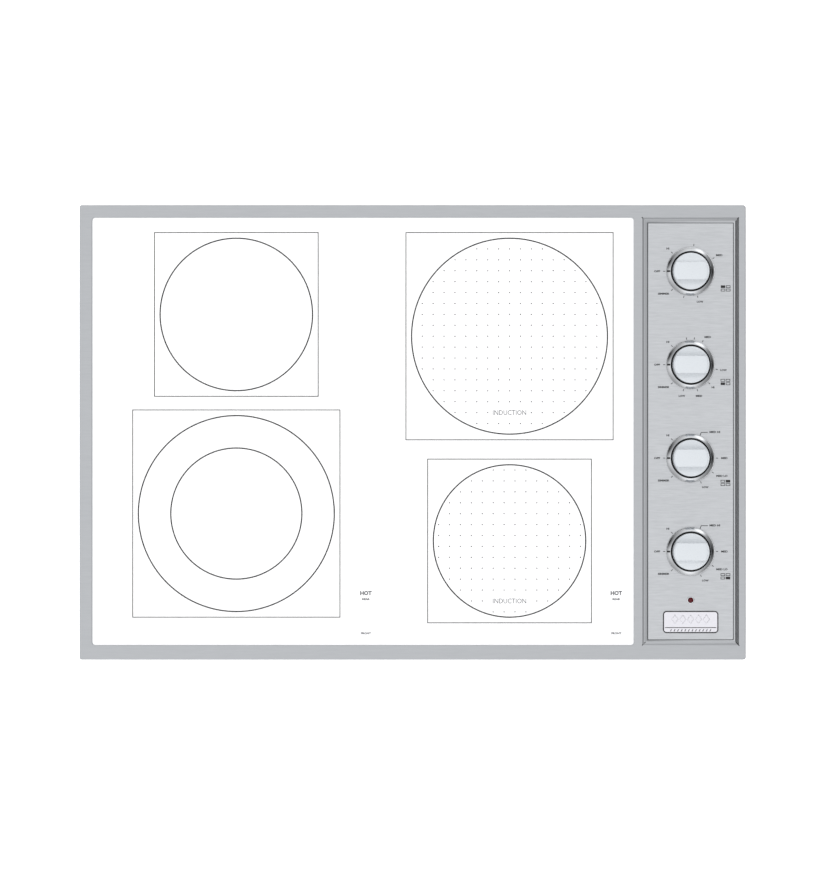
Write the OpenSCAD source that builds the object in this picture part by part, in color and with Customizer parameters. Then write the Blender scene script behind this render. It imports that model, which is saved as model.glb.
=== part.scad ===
// Built-in cooktop: two radiant zones on the left, two induction zones on the right,
// a white ceramic glass top in a steel trim frame, and a raised panel with four push-to-turn knobs.
// X runs to the right, Y to the rear and Z up. The origin is the middle of the box's underside.

/* [Overall] */
// Width over the trim frame
overall_w = 781; // [760:1:940]
// Depth over the trim frame, front to rear
overall_d = 533; // [530:1:640]
// Height of the worktop plane above the underside of the box
worktop_z = 80; // [80:1:110]
// How far the trim frame bears on the worktop beyond the cut-out
rim_bearing = 14.5; // [14:0.5:20]
// Gap between the box and the cut-out on each side
cutout_gap = 5; // [4:0.5:8]

/* [Trim frame] */
// Flat rim left of the glass
rim_left = 14.9; // [14:0.1:20]
// Flat rim right of the raised moulding
rim_right = 8.2; // [8:0.1:12]
// Flat rim in front of the glass
rim_front = 17; // [14:0.1:20]
// Flat rim behind the glass
rim_rear = 14.6; // [14:0.1:20]
// Flat bridge between the glass and the moulding
bridge_w = 9.4; // [8:0.1:16]
// Width of the moulding round the control panel
moulding_w = 6.4; // [5:0.1:9]
// Flat crest on top of the moulding
crest_w = 0.8; // [0.6:0.1:1.2]
// Height of the moulding above the rim
moulding_h = 3; // [2.8:0.1:5]
// Sheet thickness of the trim frame
sheet_t = 1.2; // [1:0.1:1.5]
// Height of the rim above the worktop
frame_rise = 5.2; // [5:0.1:7]
// Corner radius of the rim
rim_corner_r = 3; // [2:0.5:6]

/* [Glass] */
// Thickness of the ceramic glass
glass_t = 4; // [4:0.5:6]
// Sealed gap round the glass
seal_gap = 0.8; // [0.6:0.1:1.5]
// Thickness of the silicone bed under the glass
bed_t = 0.4; // [0.3:0.1:0.8]
// Width of the polished bevel at the edge of the glass
glass_bevel_w = 2.6; // [1:0.1:4]
// Corner radius of the glass
glass_corner_r = 4; // [3:0.5:8]

/* [Cooking zones] */
// Diameter of the two large zones
large_zone_d = 229.6; // [200:0.2:240]
// Diameter of the two small zones
small_zone_d = 178.6; // [160:0.2:190]
// Diameter of the inner ring of the double zone
inner_zone_d = 153.6; // [120:0.2:160]
// Left edge of the glass opening to the middle of the left zones
left_column = 169; // [150:0.2:180]
// Right edge of the glass opening to the middle of the right zones
right_column = 146; // [136:0.2:160]
// Rear edge of the glass opening to the rear zones
rear_margin = 24.4; // [20:0.2:30]
// Front edge of the glass opening to the front left zone
front_margin_left = 39.6; // [30:0.2:45]
// Front edge of the glass opening to the front right zone
front_margin_right = 33; // [28:0.2:40]

/* [Control panel] */
// Width of the panel plate
panel_w = 99.6; // [96:0.2:110]
// Thickness of the panel plate
panel_t = 1.5; // [1:0.1:2]
// Gap round the panel plate
panel_gap = 0.5; // [0.3:0.1:1]
// Distance between knobs
knob_pitch = 109.4; // [90:0.2:120]
// Rear wall of the recess to the first knob
knob_margin = 56.8; // [50:0.2:70]
// Front wall of the recess to the indicator lamp
lamp_margin = 46.6; // [44:0.2:60]
// Front wall of the recess to the middle of the nameplate
nameplate_margin = 21; // [18:0.2:24]
// Length of the nameplate
nameplate_w = 65.2; // [50:0.2:80]
// Height of the nameplate
nameplate_d = 26.2; // [20:0.2:30]

/* [Knobs] */
// Diameter of the knob at its face
knob_d = 42; // [36:0.5:44]
// Height of the knob's face above the panel
knob_h = 28; // [24:0.5:34]
// Rounding of the knob's edge
knob_edge_r = 3.8; // [1:0.2:4.4]
// Width of the grip bar across the knob
grip_w = 20; // [14:0.5:24]
// Diameter of the chrome skirt
skirt_d = 56.4; // [54:0.2:60]
// Diameter of the opening in the skirt
skirt_mouth_d = 47; // [46:0.2:50]
// Diameter of the control shaft
shaft_d = 6; // [5:0.1:6.4]
// Push-in travel of a knob
push_travel = 2; // [1.5:0.1:2.2]
// Running clearance on a shaft
shaft_fit = 0.05; // [0.03:0.01:0.1]

/* [Box] */
// Sheet thickness of the box
box_t = 1; // [0.8:0.1:1.2]
// Depth of the recess over the bottom cover
hatch_rise = 3.5; // [3.5:0.1:5]
// Height of the control bracket above the underside of the box
bracket_z = 70; // [66:1:74]
// Height of the coil tray above the underside of the box
tray_z = 60; // [56:1:64]
// Diameter of the bore for the supply cable
gland_bore_d = 16; // [10:0.5:18]
// Distance from the worktop to the pads of the clamps
clamp_grip = 38; // [20:1:42]

/* [Hidden] */
$fn = 48;
lap = 0.01; // overlap that joins two pieces of one solid
cut = 1; // how far a cutter runs past the face that it cuts

// Outline of the rim, the glass opening and the moulding
half_w = overall_w / 2;
half_d = overall_d / 2;
rim_z = worktop_z + frame_rise;
recess_w = panel_w + 2 * panel_gap;
moulding_x1 = half_w - rim_right;
moulding_x0 = moulding_x1 - recess_w - 2 * moulding_w;
open_x0 = -half_w + rim_left;
open_x1 = moulding_x0 - bridge_w;
open_y0 = -half_d + rim_front;
open_y1 = half_d - rim_rear;
recess_x0 = moulding_x0 + moulding_w;
recess_x1 = moulding_x1 - moulding_w;
recess_y0 = open_y0 + moulding_w;
recess_y1 = open_y1 - moulding_w;
moulding_z = rim_z + moulding_h;
panel_drop = 0.2; // the panel lies this far below the crest
panel_z = moulding_z - panel_drop;
seat_z = panel_z - panel_t;

// The glass and the ledge that carries it
ledge_gap = 0.2; // clearance between the ledge and the worktop plane
ledge_z = worktop_z + ledge_gap + sheet_t;
glass_z0 = ledge_z + bed_t;
glass_z1 = glass_z0 + glass_t;
glass_x0 = open_x0 + seal_gap;
glass_x1 = open_x1 - seal_gap;
glass_y0 = open_y0 + seal_gap;
glass_y1 = open_y1 - seal_gap;
glass_bevel_h = 0.8;

// The box and the hanger wall of the frame that it is screwed to
box_x = half_w - rim_bearing - cutout_gap;
box_y = half_d - rim_bearing - cutout_gap - 1;
box_top = worktop_z - 0.5;
hanger_fit = 0.2;
hanger_x = box_x - box_t - hanger_fit;
hanger_y = box_y - box_t - hanger_fit;
hanger_z0 = worktop_z - 16;
ledge_inset = sheet_t + 2; // the ledge runs this far in from the outer face of the hanger wall
ledge_w = 9;
seat_w = 5; // width of the panel's seat on the left
case_screw_z = worktop_z - 8;
case_screw_inset = 116;
case_screw_x = [open_x0 + case_screw_inset, 0, open_x1]; // along the front and the rear, clear of the lamps
case_screw_y = [-0.6, 0.6]; // along the sides, as shares of the box's half depth

// Knobs, from the rear of the panel to the front
knob_x = (recess_x0 + recess_x1) / 2;
knob_y = [for (i = [0:3]) recess_y1 - knob_margin - i * knob_pitch];
lamp_y = recess_y0 + lamp_margin;
nameplate_y = recess_y0 + nameplate_margin;
lens_r = 3;
lamp_bezel_r = 4;
skirt_gap = push_travel + 0.4;
skirt_z0 = panel_z + skirt_gap;
skirt_rim_h = 1.2;
skirt_cone_h = 3.2;
skirt_wall = 1;
skirt_floor_z = skirt_z0 + 2.2;
hub_r = 6.5;
knob_wall = 2.5;
knob_top = panel_z + knob_h;
scoop_r = 14;
flat_share = 0.77; // where the flat of the shaft lies, as a share of its radius

// Switches under the bracket: heights are measured down from the bracket's underside
bracket_t = 1.2;
bracket_w = 68;
regulator_w = 38;
regulator_h = 30;
encoder_w = 30;
switch_wall = 2;
rotor_hub_r = 5.8;
rotor_room = 2.5; // between the rotor's rim and the wall of its switch
rotor_z0 = bracket_z - 24;
rotor_disc_h = 8;
spring_seat_z = bracket_z - 12;
collar_z = bracket_z - 1.5;
collar_h = 2.5;
collar_r = 4.5;
counterbore_r = 4.7;
tail_z = bracket_z - 29;
clip_h = 0.9;
regulator_terminals = 5;
encoder_terminals = 3;
terminal_pitch = 6;
terminal_inset = 5;
terminal_t = 0.8;
terminal_l = 8;

// Middles of the cooking zones
left_x = open_x0 + left_column;
right_x = open_x1 - right_column;
left_rear_y = open_y1 - rear_margin - small_zone_d / 2;
left_front_y = open_y0 + front_margin_left + large_zone_d / 2;
right_rear_y = open_y1 - rear_margin - large_zone_d / 2;
right_front_y = open_y0 + front_margin_right + small_zone_d / 2;

// Coil stack, from the glass down
mica_t = 0.6;
mica_z = glass_z0 - 0.1 - mica_t;
litz_d = 3.6;
litz_pitch = 4;
winding_z = mica_z - 0.2 - litz_d;
former_t = 3;
former_z = winding_z - former_t;
ferrite_t = 5;
coil_margin = 12; // the winding stops this far inside the zone's ring
coil_hole_r = 18;
coil_rim = 4; // the first turn lies this far outside the hole in the former
arm_w = 14;
arm_reach = 10;
pad_h = 3;
tray_t = 1.5;

// Radiant elements, from the glass down
pan_t = 0.6;
pan_margin = 6; // the pan is this much wider than its zone, all round
pan_h = 32;
pan_z = glass_z0 - 0.1 - pan_h;
limiter_z = pan_z + pan_h - 9;
limiter_drop = 12;
dish_wall = 12;
dish_base = 12;
ribbon_h = 6;
ribbon_t = 0.8;
ribbon_pitch = 9;
rail_w = 24;
rail_h = 10;
rail_z = pan_z - 6 - rail_h;
rail_offset = 55;
leaf_w = 12;
leaf_t = 0.8;
leaf_chord = 50;

// The hatch in the floor and its cover
hatch_x0 = right_x - 125;
hatch_x1 = box_x - 20;
hatch_y0 = -box_y + 40;
hatch_y1 = box_y - 56;
hatch_ledge = 12;
cover_t = 1;
cover_gap = 0.5;
screw_r = 1.6;
screw_hole_r = 1.8;
screw_head_r = 3.4;
screw_head_h = 1.8;

// Power electronics
board_z = 14;
board_t = 1.6;
board_x0 = hatch_x0 + 22;
board_x1 = board_x0 + 220;
board_y0 = -60;
board_y1 = hatch_y1 - 20;
sink_w = 110;
sink_d = 84;
sink_h = 36;
sink_base = 6;
device_d = 20; // depth of a power transistor, on the strip of the sink that has no fins
sink_x = board_x0 + 70;
sink_y = board_y0 - sink_d / 2 - 6;
sink_z = hatch_rise;
blower_x = sink_x + sink_w + 60;
blower_y = sink_y;
blower_r = 40;
blower_h = 32;
blower_z = 5;
impeller_r = 33;

// Supply inlet in the rear wall
gland_x = hatch_x1 - 90;
gland_z = 26;
gland_wall = 3;
gland_out = 13;
terminal_x = right_x + large_zone_d / 2 + 12; // left end of the terminal block
terminal_y = box_y - 41; // front of the terminal block

// Hold-down clamps
clamp_x = half_w - 7;
clamp_arm_z = 32;
clamp_arm_t = 2.5;
clamp_screw_r = 3;
clamp_pad_r = 5.5;
clamp_pad_z = worktop_z - clamp_grip;
clamp_head_z = 6;

// ---- Shapes that repeat ----

// A box from corner to corner
module block(low, high) {
    translate(low) cube(high - low);
}

// A rectangle with round corners
module round_rect(x0, y0, x1, y1, r) {
    translate([x0 + r, y0]) square([x1 - x0 - 2 * r, y1 - y0]);
    translate([x0, y0 + r]) square([x1 - x0, y1 - y0 - 2 * r]);
    for (x = [x0 + r, x1 - r]) for (y = [y0 + r, y1 - r]) translate([x, y]) circle(r);
}

// A plate with round corners
module round_plate(x0, y0, x1, y1, r, z0, z1) {
    translate([0, 0, z0]) linear_extrude(z1 - z0) round_rect(x0, y0, x1, y1, r);
}

// A block whose four sides lean in by inset over its height
module frustum(x0, y0, x1, y1, inset, z0, z1) {
    intersection() {
        translate([0, y1 + cut, 0]) rotate([90, 0, 0]) linear_extrude(y1 - y0 + 2 * cut)
            polygon([[x0, z0], [x1, z0], [x1 - inset, z1], [x0 + inset, z1]]);
        translate([x0 - cut, 0, 0]) rotate([90, 0, 90]) linear_extrude(x1 - x0 + 2 * cut)
            polygon([[y0, z0], [y1, z0], [y1 - inset, z1], [y0 + inset, z1]]);
    }
}

// A ring of square section
module ring(r_out, r_in, z0, z1) {
    translate([0, 0, z0]) difference() {
        cylinder(r = r_out, h = z1 - z0);
        translate([0, 0, -cut]) cylinder(r = r_in, h = z1 - z0 + 2 * cut);
    }
}

// A shaft of D section, for the shaft itself and, with a clearance, for its bores
module d_shaft(z0, z1, grow = 0) {
    r = shaft_d / 2;
    translate([0, 0, z0]) intersection() {
        cylinder(r = r + grow, h = z1 - z0);
        block([-2 * r, -2 * r, 0], [r * flat_share + grow, 2 * r, z1 - z0]);
    }
}

// A pan-head screw with a cross recess, its head's underside at the origin and its shank along -Z
module screw(length = 8) {
    slot_w = 0.9;
    slot_l = 3.6;
    difference() {
        union() {
            cylinder(r = screw_head_r, h = screw_head_h);
            translate([0, 0, -length]) cylinder(r = screw_r, h = length + lap);
        }
        for (a = [0, 90]) rotate(a) translate([0, 0, screw_head_h])
            cube([slot_l, slot_w, 2 * slot_w], center = true);
    }
}

// A hexagon nut on a bore
module hex_nut(r, h, bore_r) {
    difference() {
        cylinder(r = r, h = h, $fn = 6);
        translate([0, 0, -cut]) cylinder(r = bore_r, h = h + 2 * cut);
    }
}

// A strip bowed upwards between z0 and z1, along X
module leaf_spring(z0, z1) {
    sag = z1 - z0 - leaf_t;
    r = (pow(leaf_chord / 2, 2) + sag * sag) / (2 * sag);
    half_angle = asin(leaf_chord / 2 / r);
    translate([0, leaf_w / 2, z1 - r - leaf_t]) rotate([90, 0, 0])
        rotate([0, 0, 90 - half_angle]) rotate_extrude(angle = 2 * half_angle)
            translate([r, 0]) square([leaf_t, leaf_w]);
}

// A flat spiral made of half turns whose centres alternate, so each half turn meets the next one square
module spiral(r_in, r_out, pitch) {
    halves = 2 * floor((r_out - r_in) / pitch) + 1;
    for (i = [0:halves - 1])
        translate([i % 2 == 0 ? 0 : pitch / 2, 0, 0]) rotate(i % 2 == 0 ? 0 : 180)
            rotate_extrude(angle = 180) translate([r_in + i * pitch / 2, 0]) children();
}

// Points on a smooth curve through a route's own points
function between(a, b, c, d, t) = 0.5 * (2 * b + (c - a) * t + (2 * a - 5 * b + 4 * c - d) * t * t
    + (3 * b - a - 3 * c + d) * t * t * t);
function smooth(p, n) = [for (i = [0:len(p) - 2]) for (k = [0:n - 1])
    between(p[max(i - 1, 0)], p[i], p[i + 1], p[min(i + 2, len(p) - 1)], k / n), p[len(p) - 1]];
function unit(v) = v / norm(v);

// A round lead along a route: rings square to its path, and its two ends square to the route's first and last steps
module lead(route, r, sides = 8, steps = 3) {
    path = smooth(route, steps);
    n = len(path);
    m = len(route);
    steady = [0.31, 0.47, 0.83]; // no route runs along this direction
    function along(i) = unit(i == 0 ? route[1] - route[0]
        : i == n - 1 ? route[m - 1] - route[m - 2] : path[i + 1] - path[i - 1]);
    rings = [for (i = [0:n - 1])
        let (t = along(i), u = unit(cross(t, steady)), v = cross(t, u)) for (k = [0:sides - 1])
            path[i] + r * (cos(360 * k / sides) * u + sin(360 * k / sides) * v)];
    walls = [for (i = [0:n - 2]) for (k = [0:sides - 1])
        let (a = i * sides + k, b = i * sides + (k + 1) % sides) each [[a, a + sides, b + sides], [a, b + sides, b]]];
    first = [for (k = [0:sides - 1]) k];
    last = [for (k = [sides - 1:-1:0]) (n - 1) * sides + k];
    polyhedron(rings, concat(walls, [first, last]), convexity = 8);
}

// ---- Top ----

module trim_frame() {
    color("silver") difference() {
        union() {
            difference() {
                round_plate(-half_w, -half_d, half_w, half_d, rim_corner_r, worktop_z + 0.3, rim_z);
                round_plate(-half_w + sheet_t, -half_d + sheet_t, half_w - sheet_t, half_d - sheet_t,
                    rim_corner_r - sheet_t, worktop_z, rim_z - sheet_t);
            }
            // step and ledge round the glass
            round_plate(open_x0 - sheet_t, open_y0 - sheet_t, open_x1 + sheet_t, open_y1 + sheet_t,
                glass_corner_r + sheet_t, ledge_z - sheet_t, rim_z - lap);
            // raised moulding, and the hanger wall, which rises to the panel's seat beside the panel
            frustum(moulding_x0, open_y0, moulding_x1, open_y1, moulding_w - crest_w, rim_z - lap, moulding_z);
            difference() {
                union() {
                    block([-hanger_x, -hanger_y, hanger_z0], [hanger_x, hanger_y, rim_z - lap]);
                    block([recess_x0 - sheet_t, -hanger_y, hanger_z0], [hanger_x, hanger_y, seat_z - lap]);
                }
                block([-hanger_x + sheet_t, -hanger_y + sheet_t, hanger_z0 - cut],
                    [hanger_x - sheet_t, hanger_y - sheet_t, seat_z]);
            }
        }
        // pocket for the glass, and the window inside its ledge
        round_plate(open_x0, open_y0, open_x1, open_y1, glass_corner_r, ledge_z, rim_z + cut);
        block([-hanger_x + ledge_inset, -hanger_y + ledge_inset, worktop_z - cut],
            [open_x1 - ledge_w, hanger_y - ledge_inset, rim_z + cut]);
        // recess for the panel, the opening inside its seat, and the hollow under the moulding
        block([recess_x0, recess_y0, seat_z], [recess_x1, recess_y1, moulding_z + cut]);
        block([recess_x0 + seat_w, -hanger_y + ledge_inset, rim_z - sheet_t - cut],
            [hanger_x - ledge_inset, hanger_y - ledge_inset, seat_z + cut]);
        difference() {
            frustum(moulding_x0 + 0.3, open_y0 + 0.3, moulding_x1 - 0.3, open_y1 - 0.3,
                moulding_w - crest_w, rim_z - sheet_t - lap, moulding_z - 1.6);
            block([recess_x0 - sheet_t, recess_y0 - sheet_t, rim_z - 2 * sheet_t],
                [recess_x1 + sheet_t, recess_y1 + sheet_t, moulding_z]);
            difference() {
                block([-hanger_x, -hanger_y, 0], [hanger_x, hanger_y, moulding_z]);
                block([-hanger_x + sheet_t, -hanger_y + sheet_t, -cut],
                    [hanger_x - sheet_t, hanger_y - sheet_t, moulding_z + cut]);
            }
        }
        block([recess_x0 - sheet_t, recess_y0 - sheet_t, rim_z - 2 * sheet_t],
            [recess_x0 + seat_w + cut, recess_y1 + sheet_t, seat_z - sheet_t]);
        case_screw_places() translate([0, 0, -6]) cylinder(r = screw_r, h = 12);
    }
}

// The screws that hold the box to the frame, each with its head's underside on the box
module case_screw_places() {
    for (s = [-1, 1]) {
        for (x = case_screw_x)
            translate([x, s * box_y, case_screw_z]) rotate([-90 * s, 0, 0]) children();
        for (y = case_screw_y)
            translate([s * box_x, y * box_y, case_screw_z]) rotate([0, 90 * s, 0]) children();
    }
}

module glass_panel() {
    color("white") intersection() {
        round_plate(glass_x0, glass_y0, glass_x1, glass_y1, glass_corner_r - seal_gap, glass_z0, glass_z1);
        union() {
            block([glass_x0 - cut, glass_y0 - cut, glass_z0 - cut],
                [glass_x1 + cut, glass_y1 + cut, glass_z1 - glass_bevel_h]);
            frustum(glass_x0, glass_y0, glass_x1, glass_y1, glass_bevel_w, glass_z1 - glass_bevel_h - lap, glass_z1);
        }
    }
}

module glass_seal() {
    color("gainsboro") difference() {
        round_plate(open_x0, open_y0, open_x1, open_y1, glass_corner_r, ledge_z, rim_z - 0.4);
        round_plate(glass_x0, glass_y0, glass_x1, glass_y1, glass_corner_r - seal_gap, glass_z0, glass_z1);
        block([-hanger_x + ledge_inset + 1, -hanger_y + ledge_inset + 1, 0],
            [open_x1 - ledge_w - 1, hanger_y - ledge_inset - 1, glass_z1]);
    }
}

module worktop_gasket() {
    inset = 2;
    width = 10;
    color("dimgray") difference() {
        block([-half_w + inset, -half_d + inset, worktop_z], [half_w - inset, half_d - inset, rim_z - sheet_t]);
        block([-half_w + inset + width, -half_d + inset + width, 0],
            [half_w - inset - width, half_d - inset - width, rim_z]);
    }
}

module control_panel() {
    color("lightgray") {
        difference() {
            round_plate(recess_x0 + panel_gap, recess_y0 + panel_gap, recess_x1 - panel_gap,
                recess_y1 - panel_gap, 1, seat_z, panel_z);
            for (y = knob_y) translate([knob_x, y, 0]) cylinder(r = shaft_d, h = panel_z + cut);
            translate([knob_x, lamp_y, 0]) cylinder(r = lens_r + 0.3, h = panel_z + cut);
        }
        stud_places() translate([0, 0, -stud_l]) cylinder(r = stud_r, h = stud_l + lap);
    }
}

// Welded studs that the control bracket hangs on
stud_r = 1.5;
stud_l = 7;
stud_x = bracket_w / 2 + 3.2;
nut_r = 3;
bracket_y0 = knob_y[3] - 34;
bracket_y1 = knob_y[0] + 34;
module stud_places() {
    for (s = [-1, 1]) for (y = [bracket_y0 + 8, (bracket_y0 + bracket_y1) / 2, bracket_y1 - 8])
        translate([knob_x + s * stud_x, y, seat_z]) children();
}

module nameplate() {
    border = 1;
    relief = 0.5;
    base = 1;
    divider_y = nameplate_y - nameplate_d * 0.25;
    x0 = knob_x - nameplate_w / 2;
    x1 = knob_x + nameplate_w / 2;
    y0 = nameplate_y - nameplate_d / 2;
    y1 = nameplate_y + nameplate_d / 2;
    corner = 4.5;
    color("whitesmoke") difference() {
        round_plate(x0, y0, x1, y1, corner, panel_z, panel_z + base + relief);
        difference() {
            round_plate(x0 + border, y0 + border, x1 - border, y1 - border, corner - border,
                panel_z + base, panel_z + base + relief + cut);
            block([x0, divider_y - border / 2, panel_z], [x1, divider_y + border / 2, panel_z + 2 * base + cut]);
        }
    }
}

module indicator_lens() {
    dome = 0.9;
    dome_r = (lens_r * lens_r + dome * dome) / (2 * dome);
    color("darkred") translate([knob_x, lamp_y, 0]) {
        translate([0, 0, seat_z - 2]) cylinder(r = lens_r, h = panel_z + 0.6 - seat_z + 2);
        intersection() {
            translate([0, 0, panel_z + 0.6 + dome - dome_r]) sphere(r = dome_r);
            translate([0, 0, panel_z + 0.6 - lap]) cylinder(r = lens_r, h = dome + cut);
        }
    }
}

// The holder of the indicator and the two holders of the hot-surface lamps under the glass
module lamp_holders() {
    color("black") {
        translate([knob_x, lamp_y, 0]) {
            ring(lamp_bezel_r, lens_r, panel_z, panel_z + 0.8);
            difference() {
                translate([0, 0, seat_z - 16]) cylinder(r = lens_r + 2, h = 16);
                translate([0, 0, seat_z - 2]) cylinder(r = lens_r, h = 2 + cut);
            }
        }
        for (x = [left_x + 151.8, open_x1 - 21]) hot_lamp(x, open_y0 + 32);
    }
}

module hot_lamp(x, y) {
    w = 16;
    d = 46;
    top = glass_z0 - 0.3;
    difference() {
        block([x - w / 2, y - d / 2, top - 10], [x + w / 2, y + d / 2, top]);
        for (s = [-1, 1]) translate([x, y + s * d / 4, top - 6]) cylinder(r = 5, h = 6 + cut);
    }
    for (s = [-1, 1]) translate([x, y + s * d / 4, top - 6 - lap]) cylinder(r = 3, h = 4);
    block([x - w / 2, -hanger_y + sheet_t, top - 10], [x + w / 2, y - d / 2 + lap, top - 4]);
}

// ---- Knobs and their switches ----

// Draws its children at knob i
module at_knob(i) {
    translate([knob_x, knob_y[i], 0]) children();
}

module knob(i) {
    r_face = knob_d / 2;
    r_base = r_face + 0.6;
    inner_r = r_face - knob_wall;
    inner_top = knob_top - scoop_r - knob_wall + 0.3;
    color("white") at_knob(i) {
        difference() {
            rotate_extrude($fn = 96) {
                polygon([[0, skirt_floor_z], [r_base, skirt_floor_z], [r_face, knob_top - knob_edge_r],
                    [r_face - knob_edge_r, knob_top], [0, knob_top]]);
                translate([r_face - knob_edge_r, knob_top - knob_edge_r]) intersection() {
                    circle(knob_edge_r);
                    square(knob_edge_r + cut);
                }
            }
            for (s = [-1, 1]) translate([-knob_d, s * (grip_w / 2 + scoop_r), knob_top])
                rotate([0, 90, 0]) cylinder(r = scoop_r, h = 2 * knob_d, $fn = 96);
            difference() {
                translate([0, 0, skirt_floor_z - cut]) cylinder(r = inner_r, h = inner_top - skirt_floor_z + cut);
                cylinder(r = hub_r, h = knob_top);
            }
            d_shaft(skirt_floor_z - cut, knob_top - 4, shaft_fit);
        }
        difference() {
            translate([0, 0, skirt_z0 + 0.2]) cylinder(r = hub_r, h = skirt_floor_z - skirt_z0);
            d_shaft(skirt_z0 - cut, knob_top - 4, shaft_fit);
        }
    }
}

module knob_skirt(i) {
    r_out = skirt_d / 2;
    r_in = skirt_mouth_d / 2;
    lip = 0.4;
    cone_z = skirt_z0 + skirt_rim_h;
    top_z = cone_z + skirt_cone_h;
    color("gainsboro") at_knob(i) rotate_extrude($fn = 96) polygon([
        [r_out, skirt_z0], [r_out, cone_z], [r_in + lip, top_z], [r_in, top_z], [r_in, skirt_floor_z],
        [hub_r + 0.1, skirt_floor_z], [hub_r + 0.1, skirt_floor_z - skirt_wall],
        [r_in + 0.6, skirt_floor_z - skirt_wall], [r_out - skirt_wall, skirt_z0]]);
}

module shaft(i) {
    color("lightsteelblue") at_knob(i) {
        d_shaft(tail_z, knob_top - 6);
        translate([0, 0, collar_z]) cylinder(r = collar_r, h = collar_h);
        translate([0, 0, rotor_z0 - clip_h - 0.05]) cylinder(r = collar_r, h = clip_h);
    }
}

// The stop of an encoder: a rib in its body, and a lug on its rotor to each side of the rib at the ends of the turn
stop_reach = 1.7;
stop_half_gap = 22.5;
function body_w(i) = i < 2 ? regulator_w : encoder_w;
function rotor_r(i) = body_w(i) / 2 - switch_wall - rotor_room;

module switch_rotor(i) {
    r = rotor_r(i);
    lug_w = 3.2;
    color("ivory") at_knob(i) difference() {
        union() {
            translate([0, 0, rotor_z0]) cylinder(r = r, h = rotor_disc_h);
            translate([0, 0, rotor_z0]) cylinder(r = rotor_hub_r, h = bracket_z + 4 - rotor_z0);
            if (i >= 2) rotate(-stop_half_gap)
                block([r - 1, -lug_w / 2, rotor_z0 + 2], [r + stop_reach, lug_w / 2, rotor_z0 + 6]);
        }
        d_shaft(rotor_z0 - cut, bracket_z + 5, shaft_fit);
        translate([0, 0, spring_seat_z]) cylinder(r = counterbore_r, h = bracket_z + 5 - spring_seat_z);
        // notches of the cam, at off and at simmer
        for (a = [0, 45]) rotate(a) translate([-r, 0, rotor_z0 - cut]) cylinder(r = 2.5, h = rotor_disc_h + 2 * cut);
    }
}

module return_spring(i) {
    wire_r = 0.35;
    coil_r = 3.9;
    turns = 4.5;
    steps = 12;
    low = spring_seat_z + wire_r;
    rise = collar_z - wire_r - low;
    route = [for (k = [0:turns * steps]) let (a = 360 * k / steps)
        [coil_r * cos(a), coil_r * sin(a), low + rise * k / turns / steps]];
    color("silver") at_knob(i) lead(route, wire_r, 6, 1);
}

// Body of a switch: a hollow box under the bracket, with terminals underneath
module switch_body(i, w, terminals) {
    z0 = bracket_z - regulator_h;
    at_knob(i) {
        difference() {
            block([-w / 2, -w / 2, z0], [w / 2, w / 2, bracket_z]);
            block([-w / 2 + switch_wall, -w / 2 + switch_wall, z0 + switch_wall],
                [w / 2 - switch_wall, w / 2 - switch_wall, bracket_z - switch_wall]);
            translate([0, 0, z0 - cut]) cylinder(r = shaft_d / 2 + 0.3, h = 5);
            translate([0, 0, bracket_z - 5]) cylinder(r = rotor_hub_r + 0.3, h = 6);
        }
        for (k = [0:terminals - 1]) translate([(k - (terminals - 1) / 2) * terminal_pitch, w / 2 - terminal_inset, z0])
            block([-terminal_t / 2, -3.1, -terminal_l], [terminal_t / 2, 3.1, lap]);
        if (i >= 2) let (r = rotor_r(i) + 0.5, rib_w = 4.4)
            block([r, -rib_w / 2, z0 + lap], [w / 2 - switch_wall + lap, rib_w / 2, bracket_z - lap]);
    }
}

module energy_regulator(i) {
    color("sienna") switch_body(i, body_w(i), regulator_terminals);
}

module power_encoder(i) {
    color("darkgreen") switch_body(i, body_w(i), encoder_terminals);
}

module control_bracket() {
    flange = 6.5;
    edge = bracket_w / 2;
    color("silver") difference() {
        translate([knob_x, 0, 0]) union() {
            block([-edge, bracket_y0, bracket_z], [edge, bracket_y1, bracket_z + bracket_t]);
            for (s = [-1, 1]) {
                block([s > 0 ? edge - bracket_t : -edge, bracket_y0, bracket_z],
                    [s > 0 ? edge : -edge + bracket_t, bracket_y1, seat_z]);
                block([s > 0 ? edge - bracket_t : -edge - flange, bracket_y0, seat_z - bracket_t],
                    [s > 0 ? edge + flange : -edge + bracket_t, bracket_y1, seat_z]);
            }
        }
        for (y = knob_y) translate([knob_x, y, 0]) cylinder(r = rotor_hub_r + 0.6, h = seat_z);
        stud_places() translate([0, 0, -stud_l]) cylinder(r = stud_r + 0.2, h = stud_l + cut);
    }
}

module panel_nuts() {
    h = 3;
    color("goldenrod") stud_places() translate([0, 0, -bracket_t - h]) hex_nut(nut_r, h, stud_r + 0.05);
}

// ---- Box ----

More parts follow.
